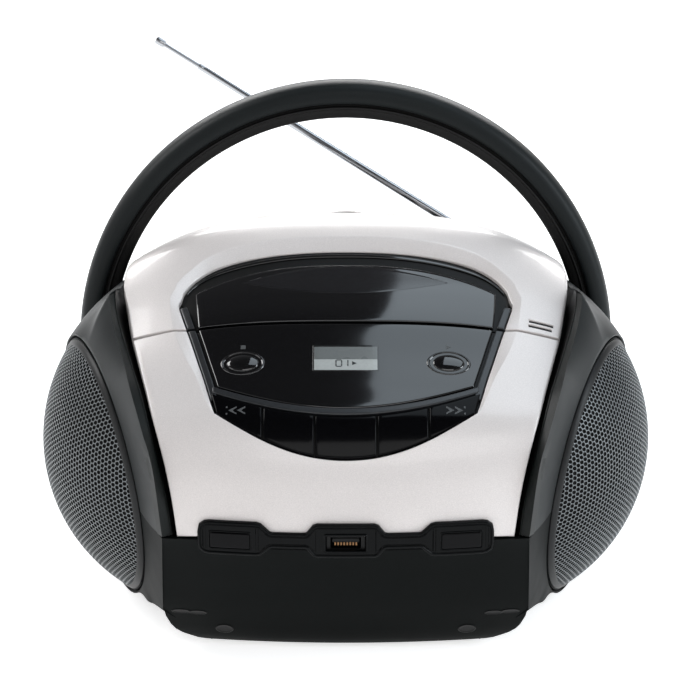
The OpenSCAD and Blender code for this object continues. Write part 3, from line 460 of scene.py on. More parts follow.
# ---------- oval buttons in dishes ----------
def disc_on_skin(name, x, t, rx, rt, off, height, mat, body, rep=(), dome=0.5, depth=2.0, hole=None):
    """Oval cap on the skin with a domed top and rounded border; rx and rt are half sizes in mm."""
    n, rings = 64, []
    if hole is None:
        prof = [(0.02, height + dome), (0.35, height + dome * 0.88), (0.6, height + dome * 0.62),
                (0.8, height + dome * 0.3), (0.92, height + 0.02), (0.97, height - 0.18), (1.0, height - 0.5), (1.0, -depth)]
    else:
        prof = hole
    a = np.linspace(0, 2 * np.pi, n, endpoint=False)
    for k, z in prof:
        rings.append(skin(x + rx * k * np.cos(a), t + rt * k * np.sin(a) * 0.0563, off + z))
    vt = np.concatenate(rings)
    fc = grid_faces(len(prof), n, 0, False, True)
    if hole is None:
        fc.append(list(range(n)))
        fc.append(list(range((len(prof) - 1) * n, len(prof) * n))[::-1])
    return piece(name, vt, fc, mat, body, rep, 60)


for s, w in ((-1, "stop"), (1, "play")):
    x = s * 45.3
    ring = [(0.80, -2.4), (0.83, -0.7), (0.88, -0.1), (0.94, 0.32), (0.98, 0.42), (1.02, 0.34), (1.05, 0.05), (1.06, -0.4), (1.06, -2.4)]
    disc_on_skin(f"dish_{w}", x, 4.74, 9.3, 6.6, -1.62, 0, GLOSS, "body", hole=ring)
    disc_on_skin(f"cap_{w}", x, 4.74, 7.0, 4.9, -1.62, 0.5, GLOSS, f"{w}_button", (f"{w}_button",), dome=0.9)
icon("icon_stop", [[(-0.9, -0.9), (0.9, -0.9), (0.9, 0.9), (-0.9, 0.9)]], -45.3, 5.26, -1.6, PRINT, "body", 1.2)
icon("icon_play", [[(-0.9, 1.0), (-0.9, -1.0), (1.0, 0)]], 45.3, 5.26, -1.6, PRINT, "body", 1.2)

# ---------- display ----------
patch("display_frame", lambda u, v, o: skin((2 * u - 1) * 14.6, 4.86 + (v - 0.5) * 0.83, -1.52 + o),
      30, 15, LENS, "body", ("lcd_lens",), nu=12, nv=8, r=0.3, depth=1.0)
# darker upper strip of the display: painted shadow of the opening's top edge
patch("display_upper", lambda u, v, o: skin((2 * u - 1) * 13.9, 4.84 + v * 0.38, -1.47 + o),
      28, 6, LCD_DARK, "body", nu=12, nv=5, r=0.06, depth=0.2)
patch("display_lower", lambda u, v, o: skin((2 * u - 1) * 13.9, 4.48 + v * 0.355, -1.47 + o),
      28, 7, LCD, "body", nu=12, nv=5, r=0.06, depth=0.2)


def bar(cx, cy, w, h):
    return [(cx - w / 2, cy - h / 2), (cx + w / 2, cy - h / 2), (cx + w / 2, cy + h / 2), (cx - w / 2, cy + h / 2)]


zero = [bar(-3.2, 2, 2.2, 0.5), bar(-3.2, -2, 2.2, 0.5), bar(-4.5, 1, 0.5, 1.7), bar(-4.5, -1, 0.5, 1.7),
        bar(-1.9, 1, 0.5, 1.7), bar(-1.9, -1, 0.5, 1.7)]
one = [bar(1.0, 1, 0.5, 1.7), bar(1.0, -1, 0.5, 1.7)]
icon("display_digits", zero + one + [[(3.0, 1.2), (3.0, -1.2), (5.0, 0)]], 0, 4.70, -1.42, SEGMENT, "body", 0.95)

# ---------- pods and lower cabinet ----------
TILT, YAW = math.radians(97.8), math.radians(-19.6)


def speaker(p):
    """Point along the right speaker's axis (+Z out through the grille) to datum millimetres."""
    p = np.asarray(p, float)
    x = p[..., 0] * math.cos(TILT) + p[..., 2] * math.sin(TILT)
    z = p[..., 2] * math.cos(TILT) - p[..., 0] * math.sin(TILT)
    return np.stack([111.6 + x * math.cos(YAW) - p[..., 1] * math.sin(YAW),
                     x * math.sin(YAW) + p[..., 1] * math.cos(YAW) - 15, 65.6 + z], -1)


AXIS = speaker([0, 0, 1.0]) - speaker([0, 0, 0.0])


def smooth_path(pts, n, crisp=()):
    """Even samples along a smooth curve through the points, straight across the crisp ones."""
    pts = np.asarray(pts, float)
    cuts = [0] + sorted(crisp) + [len(pts) - 1]
    out = []
    for a, b in zip(cuts[:-1], cuts[1:]):
        seg = pts[a:b + 1]
        out.append(curve(seg, np.linspace(0, len(seg) - 1, 40 * (b - a) + 1))[(1 if out else 0):])
    p = np.concatenate(out)
    s = np.concatenate([[0], np.cumsum(np.linalg.norm(np.diff(p, axis=0), axis=1))])
    q = np.linspace(0, s[-1], n)
    return np.stack([np.interp(q, s, p[:, k]) for k in range(3)], -1)


def rim_angle(z_plane, front, r):
    """Angle on the grille's rim circle where it meets a level plane, on the front or the rear side."""
    a = np.linspace(0, 2 * np.pi, 7200)
    p = speaker(np.stack([-r * np.cos(a), r * np.sin(a), 0 * a], -1))
    k = np.abs(p[:, 2] - z_plane)
    mask = p[:, 1] < -15 if front else p[:, 1] > -15
    k[~mask] = 1e9
    return a[np.argmin(k)]


def mirror(p, side):
    q = np.array(p, float)
    q[..., 0] *= side
    return q


POD_RAIL = [(79.4, -104, 63), (83.2, -101, 93), (88.4, -90, 107.5), (94, -76, 121.4), (97.5, -62, 128.5),
            (102, -46, 136.5), (105, -34, 143.5), (106.5, -24, 149.6)]
BEVEL_RAIL = [(75, -101.5, 63), (77.6, -98, 80), (83.4, -90, 102), (88.6, -76, 117), (94, -58, 126),
              (99.3, -42, 136), (102.8, -28, 143), (104, -20, 149)]
RIM_R = 60.6


def loft(name, outer, a0, a1, bulge, mat, rep, z_min=None, side=1, rows=18, ease=1.0):
    """Bulged skin from an outer line to the rim circle between two angles, with a rolled lip at the rim."""
    n = len(outer)
    s = np.concatenate([[0], np.cumsum(np.linalg.norm(np.diff(outer, axis=0), axis=1))])
    loc = outer - speaker([0.0, 0, 0])
    ux = speaker([1.0, 0, 0]) - speaker([0, 0, 0.0])
    uy = speaker([0, 1.0, 0]) - speaker([0, 0, 0.0])
    ang = np.unwrap(np.arctan2(loc @ uy, -(loc @ ux)))
    ang = (ang - ang[0]) / (ang[-1] - ang[0])
    w = 0.75 * ang + 0.25 * s / s[-1]
    a = a0 + (a1 - a0) * w
    circ = lambda r, z: speaker(np.stack([-r * np.cos(a), r * np.sin(a), z + 0 * a], -1))
    rim_pt = circ(RIM_R + 0.9, 0.25)
    gap = np.linalg.norm(outer - rim_pt, axis=1)[:, None]
    mid = (outer + rim_pt) / 2
    away = mid - np.array([92, -15, 66])
    away /= np.linalg.norm(away, axis=1)[:, None]
    ctrl = mid + away * gap * bulge
    grid = []
    for f in np.linspace(0, 1, rows):
        g = f ** ease
        grid.append((1 - g) ** 2 * outer + 2 * g * (1 - g) * ctrl + g * g * rim_pt)
    for dr, dz in ((0.55, 0.22), (0.25, 0.0), (0.06, -0.3), (0.0, -0.8), (0.0, -4.0)):
        grid.append(circ(RIM_R + dr, dz))
    grid = np.array(grid)
    back = grid + (np.array([88, -12, 66]) - grid) * (2.4 / np.linalg.norm(grid - np.array([88, -12, 66]), axis=-1, keepdims=True))
    if z_min is not None:
        back[..., 2] = np.where(grid[..., 2] <= z_min + 0.01, grid[..., 2], back[..., 2])
    vt, fc = closed_grid(mirror(grid, side), mirror(back, side))
    return piece(name, vt, fc, mat, "body", rep, 40)


ridge = POD_RAIL + [(104.6, -8, 147.6), (104, 8, 143.4), (103, 30, 140.8), (102, 52, 138), (116, 52, 121), (124.5, 52, 104),
                    (128, 52, 84), (129, 52, 63)]
af, ab = rim_angle(63.35, True, RIM_R), rim_angle(63.35, False, RIM_R)
if af > math.pi:
    af -= 2 * math.pi
edge = smooth_path(ridge, 150, (7, 11))
edge[:, 2] = np.maximum(edge[:, 2], 63.3)
for side, w in ((-1, "left"), (1, "right")):
    loft(f"{w}_pod_skin", edge, af, ab, 0.13, CHARCOAL, (f"{w}_pod",), 63.3, side)
    # bevel strip along the inside of the pod, thin bright lip on its inner edge
    r0, r1 = smooth_path(POD_RAIL, 70), smooth_path(BEVEL_RAIL, 70)
    r0[:, 2], r1[:, 2] = np.maximum(r0[:, 2], 63.3), np.maximum(r1[:, 2], 63.3)
    rows = [r0 + (r1 - r0) * f for f in (0, 0.04, 0.5, 0.86)]
    lip = (r1 - r0) / np.linalg.norm(r1 - r0, axis=1)[:, None]
    rows += [r0 + (r1 - r0) * 0.9 + (0, -0.35, 0.25), r0 + (r1 - r0) * 0.96 + (0, -0.4, 0.28), r1 + (0, -0.1, 0.05), r1 + (0.4, 3.0, -2.0)]
    top = np.array(rows)
    bot = top + np.array([2.0, 4.0, -3.0])
    bot[..., 2] = np.maximum(bot[..., 2], 63.3)
    vt, fc = closed_grid(mirror(top, side), mirror(bot, side))
    piece(f"{w}_pod_bevel", vt, fc, BEVEL, "body", (), 50)

CH_OUT = BEVEL_RAIL + [(104.4, -6, 146.6), (103.8, 8, 143.0), (102.8, 30, 140.4), (101.8, 52, 137.6)]
CH_IN = [(71.5, -98.5, 63.3), (74.0, -96, 79), (77.5, -88, 100), (83, -74, 114.5), (88, -56, 122.5), (92.5, -41, 129), (95.5, -28, 135.5),
         (97.0, -18, 140), (98.0, -6, 142.5), (98.4, 8, 144.0), (97.5, 30, 144.5), (92.0, 52, 141.0)]
for side, w in ((-1, "left"), (1, "right")):
    r0, r1 = smooth_path(CH_OUT, 90), smooth_path(CH_IN, 90)
    r0[:, 2] = np.maximum(r0[:, 2], 63.3)
    sag = np.array([0, 3.0, -3.5])
    top = np.array([r0 + (r1 - r0) * f + sag * 4 * f * (1 - f) + (0, 0.3, -0.2) for f in np.linspace(0, 1, 9)])
    top[..., 2] = np.maximum(top[..., 2], 63.2)
    bot = top + (0, 1.5, -1.5)
    bot[..., 2] = np.maximum(bot[..., 2], 63.2)
    vt, fc = closed_grid(mirror(top, side), mirror(bot, side))
    piece(f"{w}_side_channel", vt, fc, INLET, "body", (), 60)

LOW = [(79.4, -104, 62.7), (80.3, -93.5, 40), (81, -84, 21), (86, -67, 17), (91, -52, 13.6), (100, -10, 9), (110, 40, 7),
       (112, 52, 7), (121.5, 52, 17), (124, 52, 24), (127.3, 52, 45), (129, 52, 62.7)]
lower = smooth_path(LOW, 130, (2, 7))
lf, lb = rim_angle(62.9, True, RIM_R), rim_angle(62.9, False, RIM_R)
if lf > math.pi:
    lf -= 2 * math.pi
lb -= 2 * math.pi if lb > 0 else 0
# the tub's front is drawn in the darkened base colour, which paints its shade
FRONT_ROWS = [(62.7, 79.3, -109.0, -104.1), (56, 79.6, -105.5, -100.2), (45, 80.0, -100.3, -95.2), (37, 80.4, -96.5, -91.4),
              (30, 80.7, -92.9, -88.0), (23, 80.9, -89.4, -84.7), (17, 80.0, -86.0, -80.6), (12, 78.0, -83.6, -77.9),
              (9, 76.0, -82.0, -76), (6.6, 73.0, -80.6, -74.6), (5, 69.8, -79.4, -73.6), (3.2, 66.0, -77.8, -72.3), (2.1, 62.5, -76.2, -71), (1.6, 60, -74.5, -69)]
u = np.linspace(-1, 1, 61)
u = np.sign(u) * np.abs(u) ** 0.9
front = np.array([[(hw * k, yc + (ye - yc) * k * k, z) for k in u] for z, hw, yc, ye in FRONT_ROWS])
back = front * (0.975, 1, 1) + (0, 3, 0)
back[0, :, 2] = front[0, :, 2]
vt, fc = closed_grid(front, back)
piece("lower_front", vt, fc, SHADED_BASE, "body", ("lower_cabinet",), 35)
for side, w in ((-1, "left"), (1, "right")):
    loft(f"{w}_wing", lower, lf, lb, 0.05, SHADED_BASE, (), 999, side)
    # belly between the wing's lower edge and the base
    edge_l = smooth_path([(81, -84, 21), (86, -67, 17), (91, -52, 13.6), (100, -10, 9), (110, 40, 7), (112, 52, 7)], 40)
    t = np.linspace(0, 1, 40)
    base = np.stack([60 + 8 * t, -71 + 123 * t, 1.6 + 0 * t], -1)
    top = np.array([edge_l + (base - edge_l) * f for f in np.linspace(0, 1, 8)])
    top[..., 2] = np.maximum(top[..., 2], 1.6)
    vt, fc = closed_grid(mirror(top, side), mirror(top + (0, 0, 2.2), side))
    piece(f"{w}_belly", vt, fc, SHADED_BASE, "body", (), 50)
t = np.linspace(-1, 1, 30)
base = np.array([[(k * (60 + 8 * f), -74.6 + 5.6 * k * k * (1 - f) + (126.6 - 5.6 * k * k) * f if f < 1 else 52, 1.6)
                  for k in t] for f in np.linspace(0, 1, 20)])
vt, fc = closed_grid(base, base + (0, 0, 2.0))
piece("base_plate", vt, fc, SHADED_BASE, "body", (), 50)

# oval recesses and screw wells low on the front
FR = np.array([(z, hw, yc, ye) for z, hw, yc, ye in FRONT_ROWS[::-1]])


def front_at(x, z, out):
    """Point on the tub's front face at (x, z), pushed out by out mm."""
    hw, yc, ye = (np.interp(z, FR[:, 0], FR[:, i]) for i in (1, 2, 3))
    return np.stack([x, yc + (ye - yc) * (x / hw) ** 2 - out, z], -1)


WELLS = [(s * x, z, rx, rz) for s in (-1, 1) for x, z, rx, rz in ((54.0, 10.6, 3.6, 2.3), (73.0, 20.6, 3.8, 1.2), (65.5, 20.2, 3.6, 1.2))]
for i, (x, z, rx, rz) in enumerate(WELLS):
    a = np.linspace(0, 2 * np.pi, 40, endpoint=False)
    prof = [(1.14, -0.1), (1.1, 0.22), (1.04, 0.34), (0.98, 0.3), (0.88, 0.16), (0.62, 0.08), (0.02, 0.06)]
    vt = np.concatenate([front_at(np.clip(x + rx * k * np.cos(a), -79.4, 79.4), z + rz * k * np.sin(a), d) for k, d in prof])
    piece(f"foot_recess_{i}", vt, grid_faces(len(prof), 40, 0, False, True), INLET, "body", (), 60)

# ---------- grilles ----------
DOME_R, TOP_Z = 81.5, 25.6
PITCH, HOLE = 2.4, 1.01


def dome(px, py, dr=0.0):
    """Arc-length position on the dome to speaker-frame coordinates."""
    rho = np.hypot(px, py)
    th = rho / DOME_R
    k = np.where(rho > 1e-9, np.sin(th) / np.maximum(rho, 1e-9), 1 / DOME_R)
    r = DOME_R + dr
    return np.stack([px * k * r, py * k * r, TOP_Z - DOME_R + 0.2 + np.cos(th) * r], -1)


def grille(side, w):
    row = PITCH * math.sqrt(3) / 2
    centres = []
    for i in range(-32, 33):
        for j in range(-32, 33):
            px, py = j * PITCH + (i % 2) * PITCH / 2, i * row
            if px * px + py * py < 63.9 ** 2:
                centres.append((px, py))
    c = np.array(centres)
    m, k = len(c), 12
    a = np.arange(k) * 2 * np.pi / k
    hexr = PITCH / 2 / np.cos((a + math.pi / 6) % (math.pi / 3) - math.pi / 6)
    hx = np.stack([hexr * np.cos(a), hexr * np.sin(a)], -1)
    ci = np.stack([np.cos(a), np.sin(a)], -1)
    levels = [(hx, 0.0), (ci * (HOLE + 0.12), 0.0), (ci * HOLE, -0.12), (ci * HOLE, -0.75)]
    vt = []
    for shape, dr in levels:
        q = c[:, None, :] + shape[None]
        vt.append(mirror(speaker(dome(q[..., 0], q[..., 1], dr)), side))
    vt = np.stack(vt, 1).reshape(-1, 3)
    base = (np.arange(m) * 4 * k)[:, None, None, None]
    lv = np.arange(3)[None, :, None, None] * k
    s = np.arange(k)[None, None, :, None]
    n = (s + 1) % k
    f = np.concatenate([base + lv + s, base + lv + n, base + lv + k + n, base + lv + k + s], -1).reshape(-1, 4)
    if side < 0:
        f = f[:, ::-1]
    o = piece(f"{w}_grille_mesh", vt, f, (GRILLE, HOLE_SHADE), "body", (f"{w}_grille",), 60, recalc=False)
    # hole walls take the near-black painted shade, the webs keep the grille paint
    shade_walls = np.tile(np.repeat([0, 0, 1], k), m)
    o.data.polygons.foreach_set("material_index", shade_walls.astype(np.int32))
    ang = np.linspace(0, 2 * np.pi, 120, endpoint=False)
    rim_rings = [dome(r * np.cos(ang), r * np.sin(ang), d) for r, d in
                 ((63.0, -0.6), (63.0, 0.05), (63.3, 0.22), (64.2, 0.26), (66.0, 0.2), (66.35, -0.1), (66.3, -2.0))]
    vt = mirror(speaker(np.concatenate(rim_rings)), side)
    piece(f"{w}_grille_rim", vt, grid_faces(7, 120, 0, False, True), RIM, "body", (), 50)
    rr = np.linspace(0.5, 66, 16)
    cl = [dome(r * np.cos(ang[::3]), r * np.sin(ang[::3]), -1.6) for r in rr]
    vt = mirror(speaker(np.concatenate(cl)), side)
    piece(f"{w}_grille_cloth", vt, grid_faces(16, 40, 0, False, True), CLOTH, "body", (), 60)


grille(-1, "left")
grille(1, "right")

# ---------- handle ----------


def sweep(name, prof, a0, a1, n, mat, body, rep=()):
    """Closed section (radius, y) swept along the arch about (68, 100)."""
    prof = np.asarray(prof, float)
    a = np.radians(np.linspace(a0, a1, n))
    vt = np.stack([np.stack([prof[:, 0] * math.cos(t), 68 + prof[:, 1], 100 + prof[:, 0] * math.sin(t)], -1) for t in a])
    m = len(prof)
    fc = grid_faces(n, m, 0, False, True) + [list(range(m)), list(range((n - 1) * m, n * m))[::-1]]
    return piece(name, vt, fc, mat, body, rep, 38)


half = [(119.3, 8.4), (119.3, 9.4), (119.5, 10.3), (120.0, 10.8), (120.8, 11.0), (122.5, 10.95), (124.3, 10.6), (126.0, 9.8),
        (127.3, 8.5), (128.2, 6.7), (128.8, 4.2), (129.0, 1.5)]
sweep("handle_outer", [(r, -y) for r, y in half] + [(r, y) for r, y in half[::-1]], -4, 184, 150, CHARCOAL, "handle",
      ("handle_shell",))
half = [(112.0, 5.6), (112.15, 7.2), (112.6, 8.4), (113.5, 9.0), (116.2, 9.1), (116.5, 9.15), (116.7, 9.9), (117.1, 10.35),
        (117.7, 10.35), (118.1, 9.9), (118.3, 8.8), (119.4, 8.3)]
sweep("handle_inner", [(r, -y) for r, y in half] + [(r, y) for r, y in half[::-1]], -6, 186, 150, RIB, "handle",
      ("handle_rib",))
for side, w in ((-1, "left"), (1, "right")):
    rod(f"handle_eye_{w}", (side * 112.6, 68, 100), (side * 128.4, 68, 100), 10.4, CHARCOAL, "handle", bevel=1.6, n=64)

# ---------- ports ----------


def strip_y(x, o=0.0):
    """Depth of the port strip's curved face, raised by o."""
    r = 333 + o
    return 333 - 111 - math.sqrt(r * r - x * x) + 0.0


def strip_edges(kind, cx=0.0, w=0.0, h=0.0, c=0.0):
    """Upper and lower edge lines of a plate on the strip, as matched (x, z) points left to right."""
    if kind == "all":
        knots = [(-64, -2.6), (-63.4, -5.6), (-61.2, -7.3), (-59, -7.7), (-38.5, -7.7), (-36.6, -7.2), (-32.6, -3.7), (-31.6, -3.4),
                 (-17.9, -3.4), (-16.9, -3.7), (-14.2, -7.0), (-12.4, -7.7), (0, -7.7)]
        knots += [(-x, z) for x, z in knots[-2::-1]]
        k = np.array(knots, float)
        x = np.unique(np.concatenate([np.linspace(-64, 64, 161), k[:, 0]]))
        z = np.interp(x, k[:, 0], k[:, 1])
        return np.stack([x, -z * 0.99 + 0.5], -1), np.stack([x, z * 0.93 + 0.2], -1)
    a = np.radians(np.linspace(90, 0, 7))
    left = np.stack([cx - w + c - c * np.sin(a), h - c + c * (1 - np.cos(a)) * 0 + c * np.cos(a - np.pi / 2) * 0 + c * np.sin(np.pi / 2 - a)], -1)
    mid = np.stack([np.linspace(cx - w + c, cx + w - c, 12), np.full(12, h)], -1)[1:-1]
    right = np.stack([2 * cx - left[::-1, 0], left[::-1, 1]], -1)
    up = np.concatenate([left, mid, right])
    return up, up * (1, -1)


def raised(name, edges, levels, mat, body, rep=(), cz=63.8, cap=True, hole=None):
    """Plate on the strip: levels are (inset, height) rings from outside in."""
    up, down = edges
    n = len(up)
    loop = np.concatenate([up, down[::-1]])
    tan = np.roll(loop, -1, 0) - np.roll(loop, 1, 0)
    tan /= np.maximum(np.linalg.norm(tan, axis=1, keepdims=True), 1e-6)
    inward = np.stack([tan[:, 1], -tan[:, 0]], -1)
    rings = []
    for inset, o in levels:
        q = loop + inward * inset
        rings.append([(x, strip_y(x, o), cz + z) for x, z in q])
    m = len(loop)
    fc = grid_faces(len(rings), m, 0, False, True)
    vt = np.array(rings).reshape(-1, 3)
    if cap:
        b = (len(rings) - 1) * m
        lo = [b + i for i in range(n)]
        hi = [b + m - 1 - i for i in range(n)]
        if hole:
            o = levels[-1][1]
            x = vt[lo, 0]
            extra = [[(q, strip_y(q, o), 63.6 + z) for q in x] for z in (hole[1], -hole[1])]
            r1 = [len(vt) + i for i in range(n)]
            r2 = [len(vt) + n + i for i in range(n)]
            vt = np.concatenate([vt, np.array(extra).reshape(-1, 3)])
            for p, q, mid in ((lo, r1, False), (r1, r2, True), (r2, hi, False)):
                fc += [(p[i], p[i + 1], q[i + 1], q[i]) for i in range(n - 1) if not (mid and abs(x[i] + x[i + 1]) / 2 < hole[0])]
        else:
            fc += [(lo[i], lo[i + 1], hi[i + 1], hi[i]) for i in range(n - 1)]
    return piece(name, vt, fc, mat, body, rep, 40)


BEV = [(0, -0.6), (0, 1.5), (0.25, 1.85), (0.7, 2.0), (1.0, 1.98), (1.25, 1.6), (1.5, 1.5), (1.75, 1.62), (2.1, 1.66)]
raised("port_strip_plate", strip_edges("all"), BEV, STRIP, "body", ("port_strip",), hole=(8.6, 3.4))
for s, w in ((-1, "left"), (1, "right")):
    raised(f"{w}_flap_frame", strip_edges("", s * 50.0, 9.4, 4.3, 1.2), [(0, 1.2), (0, 1.8), (0.2, 2.0), (0.5, 2.02), (0.75, 1.7), (0.9, 1.5)],
           STRIP, "body", (), 63.6, False)
    raised(f"{w}_flap_plate", strip_edges("", s * 50.0, 8.4, 3.4, 0.7), [(0, 1.3), (0, 2.0), (0.2, 2.2), (0.5, 2.25)], KEY, f"{w}_flap",
           (f"{w}_port_flap",), 63.6)

# USB opening with its contact tongue
raised("usb_frame", strip_edges("", 0, 9.4, 4.3, 1.0), [(0, 1.2), (0, 2.1), (0.25, 2.35), (0.7, 2.35), (0.95, 2.0), (0.95, -9), (2.5, -9)],
       STRIP, "body", (), 63.6)


def block(name, lo, hi, mat, body, rep=(), bevel=0.2):
    """Bevelled block between two datum corners."""
    me = bpy.data.meshes.new(name)
    bm = bmesh.new()
    bmesh.ops.create_cube(bm, size=1.0)
    lo, hi = np.array(lo, float), np.array(hi, float)
    for v in bm.verts:
        v.co = Vector((lo + (hi - lo) * (np.array(v.co) + 0.5) + (0, DY, 0)) / 1000)
    bmesh.ops.bevel(bm, geom=bm.edges[:], offset=bevel / 1000, segments=3, affect="EDGES")
    bm.to_mesh(me)
    bm.free()
    return dress(name, me, mat, body, rep, 40)


block("usb_shell_top", (-7.2, -109.4, 65.9), (7.2, -95, 66.4), PRESSED, "body", (), 0.12)
block("usb_shell_bottom", (-7.2, -109.4, 60.0), (7.2, -95, 60.5), PRESSED, "body", (), 0.12)
block("usb_tongue", (-5.9, -110.0, 63.1), (5.9, -95, 64.9), INLET, "body", (), 0.25)
for i in range(8):
    block(f"usb_contact_{i}", (-4.9 + i * 1.3, -110.4, 61.9), (-4.2 + i * 1.3, -97, 63.3), COPPER, "body", (), 0.08)

# ---------- antenna ----------
UP, BACK = math.radians(28.1), math.radians(18)
DIR = np.array([-math.cos(UP) * math.cos(BACK), math.cos(UP) * math.sin(BACK), math.sin(UP)])
PIVOT = np.array([75, 114, 133.0])


def turned(name, prof, mat, body, rep=(), n=32):
    """Surface turned about the antenna's axis from (distance, radius) pairs."""
    a = np.linspace(0, 2 * np.pi, n, endpoint=False)
    side = np.cross(DIR, (0, 0, 1.0))
    side /= np.linalg.norm(side)
    up = np.cross(side, DIR)
    rings = [PIVOT + DIR * s + r * (np.cos(a)[:, None] * side + np.sin(a)[:, None] * up) for s, r in prof]
    fc = grid_faces(len(prof), n, 0, False, True) + [list(range(n)), list(range((len(prof) - 1) * n, len(prof) * n))[::-1]]
    return piece(name, np.array(rings), fc, mat, body, rep, 38)


turned("antenna_lower_skin", [(1.2, 1.2), (1.2, 2.0), (1.6, 2.1), (136.6, 2.1), (136.9, 1.98), (137.3, 2.1), (139.5, 2.1), (139.9, 2.0), (140, 1.72)],
       CHROME, "antenna_lower", ("antenna_lower_tube",))
turned("antenna_middle_skin", [(48.2, 1.3), (48.2, 1.68), (174.6, 1.7), (174.9, 1.6), (175.3, 1.7), (177.5, 1.7), (177.9, 1.6), (178, 1.3)],
       CHROME, "antenna_middle", ("antenna_middle_tube",))
turned("antenna_tip_skin", [(82, 0.6), (82, 1.19), (198.6, 1.2), (198.9, 1.5), (199.1, 1.9), (199.6, 2.08), (203, 2.1), (203.7, 1.95), (204, 1.5)],
       CHROME, "antenna_top", ("antenna_tip",))

# ---------- controls behind the lid ----------
a = np.linspace(0, 2 * np.pi, 144, endpoint=False)
grip = 1 - 0.02 * (np.cos(36 * a) > 0)
prof = [(12.0, 148.1), (12.5, 148.6), (12.5, 153.2), (12.35, 153.9), (11.9, 154.5), (11.2, 154.9), (9.0, 154.95), (8.4, 154.5), (0.3, 154.4)]
rings = [np.stack([r * (grip if 10 < r and z < 154 else 1) * np.cos(a), 97.5 + r * (grip if 10 < r and z < 154 else 1) * np.sin(a), z + 0 * a], -1)
         for r, z in prof]
piece("volume_cap", np.array(rings), grid_faces(len(prof), 144, 0, False, True), KNOB, "volume_knob", ("volume_knob",), 30)

# ---------- carried-over parts ----------
CARRIED = {
    "lower_cabinet": SHADED_BASE, "rear_cover": SHADED_BASE, "feet": RUBBER, "case_screws": STEEL, "lcd_module": LCD_DARK,
    "key_board": BOARD, "usb_socket": INLET, "aux_jack": INLET, "headphone_jack": INLET,
    "left_baffle": SHADED_BASE, "right_baffle": SHADED_BASE, "left_speaker_frame": PRESSED, "right_speaker_frame": PRESSED,
    "speaker_magnets": PRESSED, "left_speaker_cone": PAPER, "right_speaker_cone": PAPER, "disc_deck": GLOSS,
    "mechanism_plate": PRESSED, "spindle_motor": PRESSED, "turntable": MECH, "guide_rods": STEEL, "laser_sled": MECH,
    "drive_pinion": MECH, "sled_motor": PRESSED, "lid_liner": GLOSS, "disc_clamp": MECH, "hinge_pins": STEEL,
    "main_board": BOARD, "transformer": PRESSED, "battery_springs": STEEL, "battery_door": SHADED_BASE, "ac_inlet": INLET,
    "tuning_wheel": KNOB, "function_switch": KNOB, "antenna_base": CHROME,
}
for node, mat in CARRIED.items():
    for o in bpy.data.objects:
        if o.type == "MESH" and (o.name == node or o.name.startswith(node + ".")):
            if not o.material_slots:
                o.data.materials.append(mat)
            for sl in o.material_slots:
                sl.material = mat

# ---------- room ----------
me = bpy.data.meshes.new("floor")
me.from_pydata([(-8, -8, 0), (8, -8, 0), (8, 14, 0), (-8, 14, 0)], [], [(0, 1, 2, 3)])
floor = bpy.data.objects.new("floor", me)
bpy.context.scene.collection.objects.link(floor)
fm = finish_material("floor_paper", (0.93, 0.93, 0.93), 0.6, 0.0, 3.0, 0.004, 0.0, 0.0, 0.1)
fb = fm.node_tree.nodes["Principled BSDF"]
fb.inputs["Emission Color"].default_value = (1, 1, 1, 1)
fb.inputs["Emission Strength"].default_value = 0.7
me.materials.append(fm)

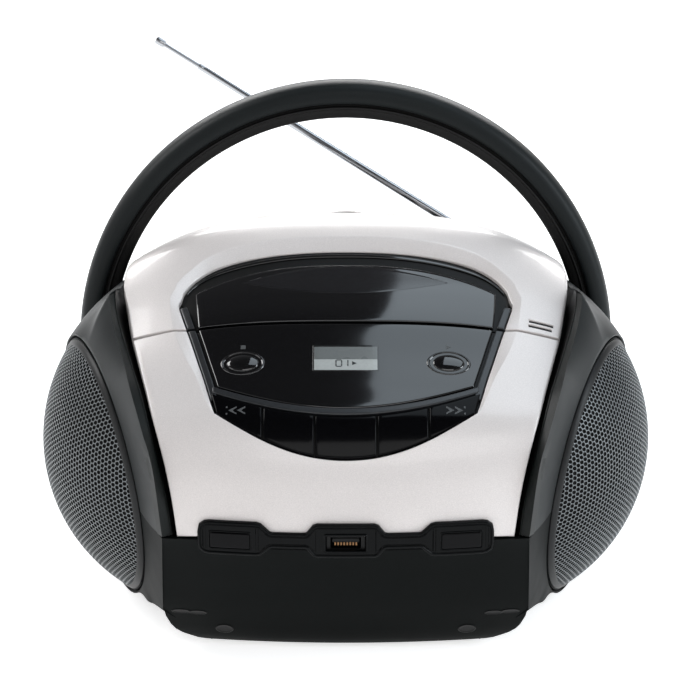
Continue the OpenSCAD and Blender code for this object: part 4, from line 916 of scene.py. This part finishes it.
world = bpy.data.worlds.new("studio") if not bpy.context.scene.world else bpy.context.scene.world
bpy.context.scene.world = world
world.use_nodes = True
nt = world.node_tree
nt.nodes.clear()
out = nt.nodes.new("ShaderNodeOutputWorld")
bg = nt.nodes.new("ShaderNodeBackground")
bg.inputs["Strength"].default_value = 0.62
co = nt.nodes.new("ShaderNodeTexCoord")
sep = nt.nodes.new("ShaderNodeSeparateXYZ")
ramp = nt.nodes.new("ShaderNodeValToRGB")
ramp.color_ramp.elements[0].position = 0.0
ramp.color_ramp.elements[0].color = (1, 1, 1, 1)
ramp.color_ramp.elements[1].position = 0.95
ramp.color_ramp.elements[1].color = (0.10, 0.10, 0.105, 1)
e = ramp.color_ramp.elements.new(0.35)
e.color = (0.85, 0.85, 0.86, 1)
e = ramp.color_ramp.elements.new(0.62)
e.color = (0.28, 0.28, 0.29, 1)
nt.links.new(co.outputs["Generated"], sep.inputs["Vector"])
nt.links.new(sep.outputs["Z"], ramp.inputs["Fac"])
nt.links.new(ramp.outputs["Color"], bg.inputs["Color"])
nt.links.new(bg.outputs["Background"], out.inputs["Surface"])


def softbox(name, loc, aim, sx, sy, power, color=(1, 1, 1)):
    d = bpy.data.lights.new(name, "AREA")
    d.shape, d.size, d.size_y, d.energy, d.color = "RECTANGLE", sx, sy, power, color
    o = bpy.data.objects.new(name, d)
    bpy.context.scene.collection.objects.link(o)
    o.location = loc
    o.rotation_mode = "QUATERNION"
    o.rotation_quaternion = (Vector(aim) - Vector(loc)).to_track_quat("-Z", "Y")
    return o


C = (0, DY / 1000, 0.1)
glow = softbox("panel_glow", (0.63, 0.33 + DY / 1000, 1.7), C, 1.15, 1.28, 9.6, (0.80, 0.91, 1.0))
glow.rotation_mode = "XYZ"
glow.rotation_euler = (0, 0, math.radians(-4))
softbox("key_behind", (0, 3.0, 1.35), C, 3.0, 0.9, 60)
softbox("fill_left", (-1.9, -1.0, 0.9), C, 1.0, 1.4, 6)
softbox("left_high", (-1.7, 0.6, 1.7), C, 1.2, 1.2, 30)
softbox("fill_right", (2.0, -0.5, 1.0), C, 0.8, 1.6, 28, (0.86, 0.94, 1.0))
softbox("front_high", (0.3, -2.1, 1.9), C, 1.6, 0.8, 9)

# ---------- camera ----------
cam = bpy.data.cameras.new("camera")
cam.sensor_width, cam.lens, cam.shift_x = 36, 144.7, 0.0061
co = bpy.data.objects.new("camera", cam)
bpy.context.scene.collection.objects.link(co)
co.location = (0, (DY - 1243.2) / 1000, 0.4961)
co.rotation_mode = "QUATERNION"
co.rotation_quaternion = (Vector((0, DY / 1000, 0.116)) - co.location).to_track_quat("-Z", "Y")
cam.clip_start, cam.clip_end = 0.05, 60
bpy.context.scene.camera = co
bpy.context.scene.view_settings.view_transform = "Standard"
